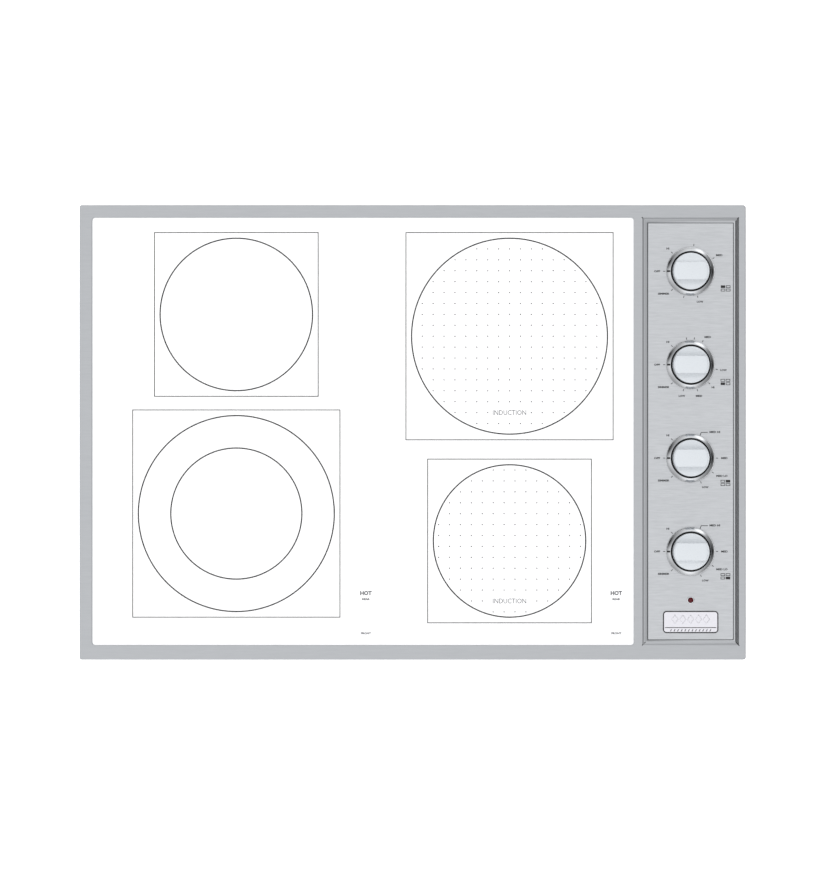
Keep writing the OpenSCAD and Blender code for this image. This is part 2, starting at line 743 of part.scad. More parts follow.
module chassis() {
    rear_fit = 0.05;
    slot_w = 3;
    slot_l = 24;
    slots = 18;
    color("lightgray") difference() {
        union() {
            difference() {
                block([-box_x, -box_y, 0], [box_x, box_y, box_top]);
                block([-box_x + box_t, -box_y + box_t, box_t], [box_x - box_t, box_y + cut, box_top + cut]);
            }
            // rear panel, which lies between the sides on the floor's rear edge
            block([-box_x + box_t + rear_fit, box_y - box_t, box_t + rear_fit],
                [box_x - box_t - rear_fit, box_y, box_top]);
            block([hatch_x0 - box_t, hatch_y0 - box_t, 0],
                [hatch_x1 + box_t, hatch_y1 + box_t, hatch_rise + box_t]);
        }
        block([hatch_x0, hatch_y0, -cut], [hatch_x1, hatch_y1, hatch_rise]);
        block([hatch_x0 + hatch_ledge, hatch_y0 + hatch_ledge, -cut],
            [hatch_x1 - hatch_ledge, hatch_y1 - hatch_ledge, hatch_rise + box_t + cut]);
        // exhaust slots in the rear wall, and intake slots in the floor on the left
        for (k = [0:slots - 1]) translate([right_x - 110 + k * 9, box_y - box_t - cut, 30])
            cube([slot_w, box_t + 2 * cut, slot_l]);
        for (k = [0:slots - 1]) translate([left_x - 80 + k * 9, -box_y + 14, -cut])
            cube([slot_w, slot_l, box_t + 2 * cut]);
        translate([gland_x, box_y + cut, gland_z]) rotate([90, 0, 0])
            cylinder(r = gland_bore_d / 2 + gland_wall + 0.2, h = box_t + 2 * cut);
        case_screw_places() translate([0, 0, -3]) cylinder(r = screw_hole_r, h = 4);
        cover_screw_places() translate([0, 0, -cut]) cylinder(r = screw_hole_r, h = 2 * cut + 3);
    }
}

// The screws that hold the bottom cover, each with its head's underside on the cover
module cover_screw_places() {
    inset = hatch_ledge / 2;
    xs = [hatch_x0 + inset, (hatch_x0 + hatch_x1) / 2, hatch_x1 - inset];
    ys = [hatch_y0 + inset, hatch_y1 - inset];
    for (x = xs) for (y = ys) translate([x, y, hatch_rise - cover_t]) rotate([0, 0, 0]) children();
}

module bottom_cover() {
    z1 = hatch_rise;
    slot_w = 3;
    slots = 11;
    color("lightgray") difference() {
        union() {
            block([hatch_x0 + cover_gap, hatch_y0 + cover_gap, z1 - cover_t],
                [hatch_x1 - cover_gap, hatch_y1 - cover_gap, z1]);
            post_places() translate([0, 0, z1 - lap]) cylinder(r = 3.5, h = board_z - z1 + lap);
        }
        for (k = [0:slots - 1]) let (off = (k - (slots - 1) / 2) * 6,
                half = sqrt(pow(impeller_r + 3, 2) - off * off))
            block([blower_x + off - slot_w / 2, blower_y - half, 0],
                [blower_x + off + slot_w / 2, blower_y + half, z1 + cut]);
        cover_screw_places() translate([0, 0, -cut]) cylinder(r = screw_hole_r, h = 3);
        post_places() translate([0, 0, z1 + 2]) cylinder(r = screw_r, h = board_z);
    }
}

// Posts that carry the generator board
module post_places() {
    inset = 8;
    for (x = [board_x0 + inset, board_x1 - inset])
        for (y = [board_y0 + inset, (board_y0 + board_y1) / 2, board_y1 - inset]) translate([x, y, 0]) children();
}

module case_screws() {
    color("dimgray") {
        case_screw_places() screw();
        cover_screw_places() rotate([180, 0, 0]) screw(5);
        post_places() translate([0, 0, board_z + board_t]) screw(6);
    }
}

module clamp_brackets() {
    w = 30;
    top = clamp_arm_z + 34;
    color("silver") for (s = [-1, 1]) difference() {
        union() {
            block([s > 0 ? box_x : -box_x - clamp_arm_t, -w / 2, clamp_arm_z],
                [s > 0 ? box_x + clamp_arm_t : -box_x, w / 2, top]);
            block([s > 0 ? box_x : -half_w + 1, -w / 2, clamp_arm_z],
                [s > 0 ? half_w - 1 : -box_x, w / 2, clamp_arm_z + clamp_arm_t]);
        }
        translate([s * clamp_x, 0, 0]) cylinder(r = clamp_screw_r + 0.05, h = top);
    }
}

// A clamp screw: wing head, rod and the soft cap that presses under the worktop
module clamp_screw(s) {
    wing_h = 7;
    cap_h = 4;
    translate([s * clamp_x, 0, 0]) {
        color("silver") {
            translate([0, 0, clamp_head_z - 3]) cylinder(r = clamp_screw_r, h = clamp_pad_z - 1 - clamp_head_z + 3);
            translate([0, 0, clamp_head_z - 3]) rotate(30) cylinder(r = 5.5, h = 4, $fn = 6);
            block([-1, -10, clamp_head_z - 3], [1, 10, clamp_head_z - 3 + wing_h]);
        }
        color("black") difference() {
            translate([0, 0, clamp_pad_z - cap_h]) cylinder(r = clamp_pad_r, h = cap_h);
            translate([0, 0, clamp_pad_z - cap_h - cut]) cylinder(r = clamp_screw_r, h = cap_h);
        }
    }
}

module supply_gland() {
    r = gland_bore_d / 2;
    h = 4;
    color("silver") translate([gland_x, box_y, gland_z]) rotate([-90, 0, 0]) difference() {
        union() {
            translate([0, 0, -10]) cylinder(r = r + gland_wall, h = 10 + gland_out);
            cylinder(r = r + gland_wall + 4, h = h, $fn = 6);
            translate([0, 0, -box_t - h]) cylinder(r = r + gland_wall + 4, h = h, $fn = 6);
        }
        translate([0, 0, -10 - cut]) cylinder(r = r, h = 10 + gland_out + 2 * cut);
    }
}

module terminal_block() {
    w = 62;
    d = 22;
    h = 20;
    ways = 4;
    pitch = 14;
    x = terminal_x + w / 2;
    y = terminal_y + d / 2;
    color("ivory") difference() {
        block([x - w / 2, y - d / 2, box_t], [x + w / 2, y + d / 2, box_t + h]);
        for (k = [0:ways - 1]) translate([x + (k - (ways - 1) / 2) * pitch, y, 0])
            block([-5, -d / 2 + 3, box_t + 8], [5, d / 2 + cut, box_t + h + cut]);
    }
    color("goldenrod") for (k = [0:ways - 1]) translate([x + (k - (ways - 1) / 2) * pitch, y, box_t + 8]) {
        block([-4, -6, 0], [4, 8, 2]);
        translate([0, 0, 2 - lap]) cylinder(r = 3, h = 6);
    }
}

// ---- Induction side ----

// Draws its children at the rear coil or the front coil
function coil_place(i) = [right_x, i == 0 ? right_rear_y : right_front_y];
function coil_r(i) = (i == 0 ? large_zone_d : small_zone_d) / 2 - coil_margin;
winding_r0 = coil_hole_r + coil_rim;
function winding_r1(i) = winding_r0 + litz_pitch * floor((coil_r(i) - 2 - winding_r0) / litz_pitch);
module at_coil(i) {
    translate(concat(coil_place(i), 0)) children();
}

module coil_winding(i) {
    color("chocolate") at_coil(i) translate([0, 0, winding_z + litz_d / 2])
        spiral(winding_r0, winding_r1(i), litz_pitch) circle(d = litz_d, $fn = 24);
}

module coil_formers() {
    color("dimgray") for (i = [0, 1]) at_coil(i) difference() {
        union() {
            translate([0, 0, former_z]) cylinder(r = coil_r(i) + 1, h = former_t);
            for (a = [90, 210, 330]) rotate(a)
                block([coil_r(i) - 4, -arm_w / 2, former_z - pad_h],
                    [coil_r(i) + arm_reach, arm_w / 2, former_z + former_t - lap]);
        }
        translate([0, 0, former_z - cut]) cylinder(r = coil_hole_r, h = former_t + 2 * cut);
        for (a = [0:45:315]) rotate(a + 22.5)
            block([coil_hole_r + 8, -5, former_z - cut], [coil_r(i) - 12, 5, former_z + former_t + cut]);
    }
}

module ferrite_bars() {
    w = 12;
    color("black") for (i = [0, 1]) at_coil(i) for (a = [0:45:315]) rotate(a)
        block([coil_hole_r + 2 + w, -w / 2, former_z - ferrite_t], [coil_r(i) - 6, w / 2, former_z]);
}

module mica_discs() {
    color("khaki") for (i = [0, 1]) at_coil(i) ring(coil_r(i) + 3, 6, mica_z, mica_z + mica_t);
}

tray_x0 = right_x - large_zone_d / 2 - 8;
tray_x1 = right_x + large_zone_d / 2 + 8;
tray_y0 = open_y0 + 22;
tray_y1 = hanger_y - sheet_t - 6;
module coil_tray() {
    leg = 16;
    foot = 14;
    color("gainsboro") difference() {
        union() {
            block([tray_x0, tray_y0, tray_z], [tray_x1, tray_y1, tray_z + tray_t]);
            for (x = [tray_x0, tray_x1 - leg]) for (s = [0, 1]) {
                y = s == 0 ? tray_y0 : tray_y1 - tray_t;
                block([x, y, box_t], [x + leg, y + tray_t, tray_z + lap]);
                block([x, s == 0 ? y : y - foot + tray_t, box_t], [x + leg, s == 0 ? y + foot : y + tray_t, box_t + tray_t]);
            }
        }
        for (i = [0, 1]) at_coil(i) translate([0, 0, tray_z - cut]) cylinder(r = 14, h = tray_t + 2 * cut);
        for (k = [-5:5]) translate([right_x + k * 18, (right_rear_y - coil_r(0) + right_front_y + coil_r(1)) / 2, tray_z - cut])
            cylinder(r = 3, h = tray_t + 2 * cut);
    }
}

// Thermistors at the coils' middles, and the rod limiters across the radiant elements
module temperature_sensors() {
    color("whitesmoke") {
        for (i = [0, 1]) at_coil(i) {
            translate([0, 0, mica_z - 12]) cylinder(r = 5, h = 12 - 0.2);
            translate([0, 0, tray_z + tray_t]) cylinder(r = 2.5, h = mica_z - 12 - tray_z - tray_t + lap);
        }
        for (i = [0, 1]) at_element(i) {
            r = element_r(i) + pan_margin;
            translate([-r - 12, 0, limiter_z]) rotate([0, 90, 0]) cylinder(r = 2.2, h = 2 * r - 6);
            block([-r - 34, -9, limiter_z - limiter_drop], [-r - 12 + lap, 9, limiter_z + 6]);
        }
    }
}

// ---- Radiant side ----

// Draws its children at the rear element or the front element
function element_place(i) = [left_x, i == 0 ? left_rear_y : left_front_y];
function element_r(i) = (i == 0 ? small_zone_d : large_zone_d) / 2;
module at_element(i) {
    translate(concat(element_place(i), 0)) children();
}

// The cut for the limiter's rod, through the pan and the insulation
module limiter_cut(i) {
    translate([-element_r(i) - 30, 0, limiter_z]) rotate([0, 90, 0]) cylinder(r = 2.6, h = 2 * element_r(i) + 26);
}

module element_pan(i) {
    r = element_r(i) + pan_margin;
    color("silver") at_element(i) difference() {
        translate([0, 0, pan_z]) cylinder(r = r, h = pan_h - 8, $fn = 96);
        translate([0, 0, pan_z + pan_t]) cylinder(r = r - pan_t, h = pan_h, $fn = 96);
        limiter_cut(i);
    }
}

module insulation_dishes() {
    color("linen") for (i = [0, 1]) at_element(i) {
        r = element_r(i) + pan_margin - pan_t;
        z0 = pan_z + pan_t;
        difference() {
            translate([0, 0, z0]) cylinder(r = r, h = pan_h - pan_t, $fn = 96);
            translate([0, 0, z0 + dish_base]) cylinder(r = r - dish_wall, h = pan_h, $fn = 96);
            limiter_cut(i);
        }
        // wall between the two rings of the double zone
        if (i == 1) difference() {
            ring(inner_zone_d / 2 + 3, inner_zone_d / 2 - 3, z0 + dish_base - lap, pan_z + pan_h - 1);
            limiter_cut(i);
        }
    }
}

module heating_ribbons() {
    z = pan_z + pan_t + dish_base;
    rear_r = element_r(0) + pan_margin - pan_t - dish_wall;
    front_r = element_r(1) + pan_margin - pan_t - dish_wall;
    color("firebrick") {
        at_element(0) ribbon_spiral(14, rear_r - 4, z);
        at_element(1) ribbon_spiral(14, inner_zone_d / 2 - 8, z);
        at_element(1) ribbon_spiral(inner_zone_d / 2 + 8, front_r - 2, z);
    }
}

module ribbon_spiral(r_in, r_out, z) {
    translate([0, 0, z]) spiral(r_in, r_out, ribbon_pitch) square([ribbon_t, ribbon_h]);
}

module element_rails() {
    y0 = -box_y + 40;
    y1 = box_y - 18;
    foot = 16;
    color("lightgray") for (s = [-1, 1]) translate([left_x + s * rail_offset, 0, 0]) {
        difference() {
            block([-rail_w / 2, y0, rail_z], [rail_w / 2, y1, rail_z + rail_h]);
            block([-rail_w / 2 + 1.2, y0 - cut, rail_z - cut], [rail_w / 2 - 1.2, y1 + cut, rail_z + rail_h - 1.2]);
        }
        for (y = [y0, y1 - 1.2]) block([-rail_w / 2, y, box_t], [rail_w / 2, y + 1.2, rail_z + rail_h]);
        for (y = [y0 - foot + 1.2, y1 - 1.2]) block([-rail_w / 2, y, box_t], [rail_w / 2, y + foot, box_t + 1.2]);
    }
}

// Leaf springs that press the elements and the coils up against the glass
module support_springs() {
    color("darkgray") {
        for (i = [0, 1]) at_element(i) for (s = [-1, 1]) translate([s * rail_offset, 0, 0])
            rotate(90) leaf_spring(rail_z + rail_h, pan_z);
        for (i = [0, 1]) at_coil(i) for (a = [90, 210, 330]) rotate(a)
            translate([coil_r(i) + arm_reach - leaf_w / 2 - 1, 0, 0]) rotate(90)
                leaf_spring(tray_z + tray_t, former_z - pad_h);
    }
}

// ---- Power electronics ----

module generator_board() {
    top = board_z + board_t;
    color("darkgreen") difference() {
        block([board_x0, board_y0, board_z], [board_x1, board_y1, top]);
        post_places() translate([0, 0, board_z - cut]) cylinder(r = screw_hole_r, h = board_t + 2 * cut);
    }
    // film capacitors, smoothing chokes, relays, bridge rectifier and sockets
    color("gold") for (k = [0:3]) translate([board_x0 + 24 + k * 30, board_y1 - 44, top]) cube([24, 32, 22]);
    color("peru") for (k = [0, 1]) translate([board_x0 + 40 + k * 60, board_y0 + 120, top]) ring(18, 8, 0, 16);
    color("black") for (k = [0:2]) translate([board_x1 - 54, board_y0 + 30 + k * 34, top]) cube([20, 26, 18]);
    color("dimgray") translate([board_x0 + 30, board_y0 + 30, top]) cube([32, 12, 24]);
    color("ivory") for (k = [0:4]) translate([board_x1 - 28, board_y0 + 30 + k * 24, top]) cube([12, 16, 11]);
    color("black") for (k = [0:1]) translate([sink_x - 26 + k * 36, board_y0, 0]) {
        block([0, -6 - device_d, sink_z + sink_base], [16, -6, sink_z + sink_base + 5]);
        for (x = [2.5:5.5:13.5]) block([x, -6 - lap, board_z - lap], [x + 1.4, 4, board_z + lap]);
        for (x = [2.5:5.5:13.5]) block([x, -6 - lap, sink_z + sink_base + 2], [x + 1.4, -5.2, board_z + lap]);
    }
    color("royalblue") for (k = [0:2]) translate([board_x0 + 84 + k * 20, board_y0 + 40, top]) cylinder(r = 8, h = 26);
}

module heat_sink() {
    fins = 12;
    fin_t = 1.6;
    finned = sink_d - device_d - 4;
    color("silver") translate([sink_x, sink_y - sink_d / 2, sink_z]) {
        block([-sink_w / 2, 0, 0], [sink_w / 2, sink_d, sink_base]);
        for (k = [0:fins - 1]) translate([0, k / (fins - 1) * (finned - fin_t), 0])
            block([-sink_w / 2, 0, sink_base - lap], [sink_w / 2, fin_t, sink_h]);
    }
}

module blower_housing() {
    wall = 1.6;
    outlet = 46;
    z1 = blower_z + blower_h;
    reach = blower_x - sink_x - sink_w / 2 - 1;
    color("black") translate([blower_x, blower_y, 0]) difference() {
        union() {
            translate([0, 0, blower_z]) cylinder(r = blower_r + 4, h = blower_h);
            block([-reach, -blower_r - 4, blower_z], [0, -blower_r - 4 + outlet, z1]);
        }
        translate([0, 0, blower_z + wall]) cylinder(r = blower_r + 4 - wall, h = blower_h - 2 * wall);
        block([-reach - cut, -blower_r - 4 + wall, blower_z + wall], [0, -blower_r - 4 + outlet - wall, z1 - wall]);
        translate([0, 0, blower_z - cut]) cylinder(r = impeller_r - 5, h = 2 * cut + wall);
    }
    // motor post that the impeller turns on
    color("black") translate([blower_x, blower_y, z1 - wall - 12]) cylinder(r = 2.5, h = 12 + lap);
}

module blower_impeller() {
    blades = 24;
    z0 = blower_z + 3.5;
    h = blower_h - 8;
    color("dimgray") translate([blower_x, blower_y, 0]) difference() {
        union() {
            translate([0, 0, z0]) cylinder(r = 14, h = h);
            translate([0, 0, z0 + h - 2]) cylinder(r = impeller_r, h = 2);
            ring(impeller_r, impeller_r - 9, z0, z0 + 1.5);
            for (k = [0:blades - 1]) rotate(k * 360 / blades) translate([impeller_r - 8.5, 0, z0]) rotate(35)
                block([0, -0.6, 0], [8, 0.6, h - lap]);
        }
        translate([0, 0, z0 + h - 12]) cylinder(r = 2.6, h = 12 + cut);
    }
}

// Insulated leads. Each route is a list of points from one terminal to the other.
lead_r = 1.6;
lead_z = winding_z + litz_d / 2;
board_top = board_z + board_t;
limiter_x = [for (i = [0, 1]) left_x - element_r(i) - pan_margin - 24];
limiter_low = limiter_z - limiter_drop;
lane_y = tray_y0 - 6;
lane_x = knob_x + 30;
tab_y = regulator_w / 2 - terminal_inset;
tab_x = (regulator_terminals - 1) / 2 * terminal_pitch + terminal_t / 2;
tab_z = bracket_z - regulator_h - terminal_l / 2;
tray_side = right_x - tray_x0 + 6; // from a coil's middle to just past the tray's left edge

// From the outer end of a coil over the tray's left edge to the board
function outer_lead(i) = let (c = concat(coil_place(i), 0), r = winding_r1(i)) concat(
    [for (p = [[-r, 0, lead_z], [-r, -4, lead_z], [-r - 6, -9, lead_z - 1], [-r - 15, -10, lead_z - 9],
        [-tray_side + 10, -10, tray_z + 6], [-tray_side, -10, tray_z + 1], [-tray_side - 2, -10, 48]]) c + p],
    [[board_x0 - 14, i == 0 ? 90 : -40, 36], [board_x0 + 2, i == 0 ? 88 : -30, 30],
        [board_x0 + 11, i == 0 ? 88 : -28, 24], [board_x0 + 11, i == 0 ? 88 : -28, board_top]]);

// From the inner end of a coil through its former and the tray
function inner_lead(i) = let (c = concat(coil_place(i), 0)) concat(
    [for (p = [[winding_r0, 0, lead_z], [winding_r0, -4, lead_z], [17, -9, lead_z - 0.2], [13, -9.5, lead_z - 0.9],
        [10, -9.5, lead_z - 5], [8.4, -8.4, tray_z + 4], [8.4, -8.4, 52]]) c + p],
    i == 0 ? [c + [8.4, -8.4, 30], c + [8.4, -8.4, board_top]]
        : [c + [4.5, 11.2, 47], for (p = [[-12, 46], [12, 30], [12, board_top]]) [right_x + 4.5, board_y0 + p[0], p[1]]]);

// From an element's limiter along the floor and up the right side to its regulator
function element_lead(i) = concat(
    [for (p = i == 0 ? [[0, left_rear_y, limiter_low], [0, left_rear_y, 44], [-1, left_rear_y - 30, 14],
            [-2, 0, 8], [-2, -140, 8], [16, lane_y + 14, 8]]
        : [[0, left_front_y, limiter_low], [0, left_front_y, 44], [0, left_front_y - 24, 16],
            [2, left_front_y - 70, 8], [24, lane_y + 4, 8]]) [limiter_x[i], 0, 0] + p],
    let (y = lane_y - i * 5, x = lane_x + i * 5, z = i == 0 ? 28 : 36)
        [[left_x - 50, y, 8], [left_x + 80, y, 8], [right_x - 130, y, 8], [right_x, y, 8], [right_x + 130, y, 10],
            [x - 12, y + 10, 20], [x, y + 34, z], [x, knob_y[3], z], [x, knob_y[2], z],
            [x, knob_y[1] - 20, z], if (i == 0) [x, knob_y[0] - 20, z],
            [knob_x + tab_x + 8, knob_y[i] + tab_y, tab_z], [knob_x + tab_x, knob_y[i] + tab_y, tab_z]]);

module wiring() {
    supply_leads = [
        [[terminal_x + 10, terminal_y, 10], [terminal_x + 10, terminal_y - 24, 11], [terminal_x + 6, 120, 22],
            [board_x1 - 2, 84, 34], [board_x1 - 22, 74, 34], [board_x1 - 22, 74, board_top + 11]],
        [[terminal_x + 50, terminal_y, 10], [terminal_x + 50, terminal_y - 9, 11], [terminal_x + 52, terminal_y - 13, 20],
            [knob_x - tab_x - 8, knob_y[0] + tab_y, tab_z], [knob_x - tab_x, knob_y[0] + tab_y, tab_z]]
    ];
    color("crimson") {
        for (i = [0, 1]) {
            lead(outer_lead(i), lead_r);
            lead(inner_lead(i), lead_r);
            lead(element_lead(i), lead_r);
        }
        for (route = supply_leads) lead(route, lead_r);
    }
}

trim_frame();
glass_panel();
glass_seal();
worktop_gasket();
control_panel();
nameplate();
indicator_lens();
lamp_holders();
control_bracket();
panel_nuts();
chassis();
bottom_cover();
case_screws();
clamp_brackets();
clamp_screw(-1);  // clamp_screw_left
clamp_screw(1);  // clamp_screw_right
supply_gland();
terminal_block();
coil_tray();
coil_winding(0);  // coil_winding_rear
coil_winding(1);  // coil_winding_front
coil_formers();
ferrite_bars();
mica_discs();
temperature_sensors();
element_pan(0);  // element_pan_rear
element_pan(1);  // element_pan_front
insulation_dishes();
heating_ribbons();
element_rails();
support_springs();
generator_board();
heat_sink();
blower_housing();
blower_impeller();
wiring();
knob(0);  // knob_left_rear
knob(1);  // knob_left_front
knob(2);  // knob_right_rear
knob(3);  // knob_right_front
knob_skirt(0);  // knob_skirt_left_rear
knob_skirt(1);  // knob_skirt_left_front
knob_skirt(2);  // knob_skirt_right_rear
knob_skirt(3);  // knob_skirt_right_front
shaft(0);  // shaft_left_rear
shaft(1);  // shaft_left_front
shaft(2);  // shaft_right_rear
shaft(3);  // shaft_right_front
switch_rotor(0);  // switch_rotor_left_rear
switch_rotor(1);  // switch_rotor_left_front
switch_rotor(2);  // switch_rotor_right_rear
switch_rotor(3);  // switch_rotor_right_front
return_spring(0);  // return_spring_left_rear
return_spring(1);  // return_spring_left_front
return_spring(2);  // return_spring_right_rear
return_spring(3);  // return_spring_right_front
energy_regulator(0);  // energy_regulator_left_rear
energy_regulator(1);  // energy_regulator_left_front
power_encoder(2);  // power_encoder_right_rear
power_encoder(3);  // power_encoder_right_front
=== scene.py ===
"""Looks of a built-in cooktop with two radiant and two induction zones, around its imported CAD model."""

import logging
import math
from dataclasses import dataclass, field
from enum import Enum
from typing import Callable, Iterable

import bmesh
import bpy
from mathutils import Matrix, Vector


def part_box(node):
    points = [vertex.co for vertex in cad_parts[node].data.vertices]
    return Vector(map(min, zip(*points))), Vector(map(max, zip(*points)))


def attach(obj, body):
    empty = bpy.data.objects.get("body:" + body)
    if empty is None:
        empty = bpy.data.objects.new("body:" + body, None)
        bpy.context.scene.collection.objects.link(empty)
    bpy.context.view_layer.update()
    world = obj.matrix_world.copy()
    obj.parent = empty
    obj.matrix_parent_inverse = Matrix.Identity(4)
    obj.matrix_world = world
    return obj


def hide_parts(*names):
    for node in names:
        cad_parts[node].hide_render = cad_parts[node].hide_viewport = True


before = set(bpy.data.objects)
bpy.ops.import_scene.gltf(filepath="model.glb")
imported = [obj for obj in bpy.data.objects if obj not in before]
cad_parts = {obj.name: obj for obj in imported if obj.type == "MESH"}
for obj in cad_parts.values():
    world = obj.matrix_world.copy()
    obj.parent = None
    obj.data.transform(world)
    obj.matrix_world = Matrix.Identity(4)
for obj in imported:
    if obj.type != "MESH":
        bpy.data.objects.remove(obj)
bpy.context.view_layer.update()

LOG = logging.getLogger("cooktop")
MM = 0.001
ROOT = "cooktop"
POSITIONS = ("left_rear", "left_front", "right_rear", "right_front")
Colour = tuple[float, float, float, float]
Rect = tuple[float, float, float, float]


# ---------------------------------------------------------------- materials


def linear(hex_colour: str) -> Colour:
    """Turns an sRGB hex colour into linear RGBA.

    Args:
        hex_colour: six hex digits, such as "c0c2c6".
    Returns:
        The linear colour with alpha 1.
    """
    parts = [int(hex_colour[i:i + 2], 16) / 255 for i in (0, 2, 4)]
    red, green, blue = (p / 12.92 if p <= 0.04045 else ((p + 0.055) / 1.055) ** 2.4 for p in parts)
    return red, green, blue, 1.0


def add_node(tree: bpy.types.NodeTree, kind: str, inputs: dict | None = None,
             **settings: object) -> bpy.types.Node:
    """Adds one shader node.

    Args:
        tree: the node tree.
        kind: the node's type, such as "ShaderNodeBump".
        inputs: by socket name or number, a value or the output socket to link.
        settings: the node's own properties.
    Returns:
        The new node.
    """
    node = tree.nodes.new(kind)
    for key, value in settings.items():
        setattr(node, key, value)
    for key, value in (inputs or {}).items():
        if isinstance(value, bpy.types.NodeSocket):
            tree.links.new(value, node.inputs[key])
        else:
            node.inputs[key].default_value = value
    return node


class Pattern(Enum):
    """How a surface was made, which sets what its colour, gloss and relief follow."""

    BRUSHED = "fine parallel scratches"
    MOULDED = "fine moulded grain"
    SPANGLE = "crystals of a zinc bath"
    FIBRE = "pressed fibres"
    STRANDED = "twisted strands"
    GRITTY = "sintered or foamed grains"
    PRINTED = "screen-printed ink"


@dataclass(frozen=True)
class Finish:
    """One real material and how its surface was made.

    The pattern swings the colour from `dark` to `colour` and the roughness by `gloss_swing`, and lifts the
    surface by `relief_mm`. `grain_mm` is the size of one grain, scratch or crystal.
    """

    name: str
    slot: str
    colour: str
    dark: str
    roughness: float
    pattern: Pattern
    grain_mm: float
    metallic: float = 0.0
    gloss_swing: float = 0.05
    relief_mm: float = 0.0
    coat: float = 0.0
    anisotropy: float = 0.0
    ior: float = 1.5

    def _field(self, tree: bpy.types.NodeTree) -> bpy.types.NodeSocket:
        """Makes the pattern's own field, from 0 to 1, on Object coordinates."""
        place = add_node(tree, "ShaderNodeTexCoord").outputs["Object"]
        per_metre = 1 / (self.grain_mm * MM)
        stretch = {
            # a belt's scratches run across the appliance, and each shows for about 15 mm
            Pattern.BRUSHED: (0.07, 1.0, 1.0),
            Pattern.STRANDED: (1.0, 0.35, 1.0),
            Pattern.FIBRE: (1.0, 0.25, 1.0),
        }.get(self.pattern, (1.0, 1.0, 1.0))
        mapped = add_node(tree, "ShaderNodeMapping", {
            "Vector": place, "Scale": tuple(per_metre * s for s in stretch)}).outputs["Vector"]
        if self.pattern is Pattern.SPANGLE:
            cells = add_node(tree, "ShaderNodeTexVoronoi", {"Vector": mapped, "Scale": 1.0, "Randomness": 1.0})
            return add_node(tree, "ShaderNodeSeparateColor", {"Color": cells.outputs["Color"]}).outputs[0]
        if self.pattern is Pattern.GRITTY:
            return add_node(tree, "ShaderNodeTexVoronoi", {"Vector": mapped, "Scale": 1.0}).outputs["Distance"]
        detail = 5.0 if self.pattern in (Pattern.BRUSHED, Pattern.FIBRE) else 2.0
        return add_node(tree, "ShaderNodeTexNoise", {
            "Vector": mapped, "Scale": 1.0, "Detail": detail, "Roughness": 0.6}).outputs["Fac"]

    def material(self) -> bpy.types.Material:
        """Builds the material the first time, and returns it."""
        known = bpy.data.materials.get(self.name)
        if known:
            return known
        made = bpy.data.materials.new(self.name)
        made.use_nodes = True
        tree = made.node_tree
        tree.nodes.clear()
        grain = self._field(tree)
        # sockets 6 and 7 are the colours A and B
        tone = add_node(tree, "ShaderNodeMix", {
            "Factor": grain, 6: linear(self.dark), 7: linear(self.colour)}, data_type="RGBA")
        rough = add_node(tree, "ShaderNodeMapRange", {
            "Value": grain, "To Min": min(1.0, self.roughness + self.gloss_swing),
            "To Max": max(0.02, self.roughness - self.gloss_swing)})
        shader = add_node(tree, "ShaderNodeBsdfPrincipled", {
            "Base Color": tone.outputs[2], "Roughness": rough.outputs["Result"], "Metallic": self.metallic,
            "Coat Weight": self.coat, "Coat Roughness": 0.06, "Anisotropic": self.anisotropy})
        if self.metallic < 1:
            shader.inputs["IOR"].default_value = self.ior
        if self.anisotropy:
            along = add_node(tree, "ShaderNodeTangent", direction_type="RADIAL", axis="X")
            tree.links.new(along.outputs[0], shader.inputs["Tangent"])
        if self.relief_mm:
            bump = add_node(tree, "ShaderNodeBump", {
                "Height": grain, "Strength": 1.0, "Distance": self.relief_mm * MM})
            tree.links.new(bump.outputs["Normal"], shader.inputs["Normal"])
        add_node(tree, "ShaderNodeOutputMaterial", {"Surface": shader.outputs[0]})
        return made


# Type 430 stainless sheet, belt-brushed with 240 grit: soft long streaks across the appliance. The scratches
# are a tenth of a millimetre wide and are drawn 1.2 mm wide, so that they show.
BRUSHED_STAINLESS = Finish("stainless_430_brushed", "stainless_steel", "b2b4b7", "989a9d", 0.33, Pattern.BRUSHED,
                           1.2, metallic=1.0, gloss_swing=0.06, relief_mm=0.004, anisotropy=0.45)
# The same sheet folded: rims and mouldings are wiped along with the belt once more and look smoother.
SATIN_STAINLESS = Finish("stainless_430_satin", "stainless_steel", "9d9fa2", "949699", 0.3, Pattern.BRUSHED,
                         1.6, metallic=1.0, gloss_swing=0.03, relief_mm=0.002, anisotropy=0.3)
# Lithium-aluminosilicate glass-ceramic with a white under-print: bright, with a hard wet gloss.
WHITE_GLASS_CERAMIC = Finish("glass_ceramic_white", "glass_ceramic", "fdfdfe", "fafafb", 0.07, Pattern.MOULDED,
                             6.0, gloss_swing=0.01, relief_mm=0.0, ior=1.54)
# Chromium plate over nickel on a drawn skirt: a mirror with a trace of drawing lines.
CHROME_PLATE = Finish("chromium_plate", "chrome_plate", "c3c5c8", "bcbec1", 0.09, Pattern.BRUSHED, 3.0,
                      metallic=1.0, gloss_swing=0.02)
# Melamine thermoset, compression moulded and polished: a dense cool white with a soft sheen.
WHITE_THERMOSET = Finish("melamine_white", "white_thermoset", "d1d6db", "ccd1d6", 0.28, Pattern.MOULDED, 1.4,
                         gloss_swing=0.04, relief_mm=0.004, coat=0.25, ior=1.55)
# Fired ceramic ink, black: matt beside the glass.
BLACK_CERAMIC_INK = Finish("ceramic_ink_black", "glass_ceramic", "151518", "0d0d0f", 0.35, Pattern.PRINTED, 0.8)
# The same ink in a dark grey, for the words.
GREY_CERAMIC_INK = Finish("ceramic_ink_grey", "glass_ceramic", "4a4c52", "3f4147", 0.4, Pattern.PRINTED, 0.8)
# Epoxy pad-printing ink on steel, dull black.
BLACK_PAD_INK = Finish("pad_ink_black", "stainless_steel", "101114", "0a0a0c", 0.6, Pattern.PRINTED, 0.6)
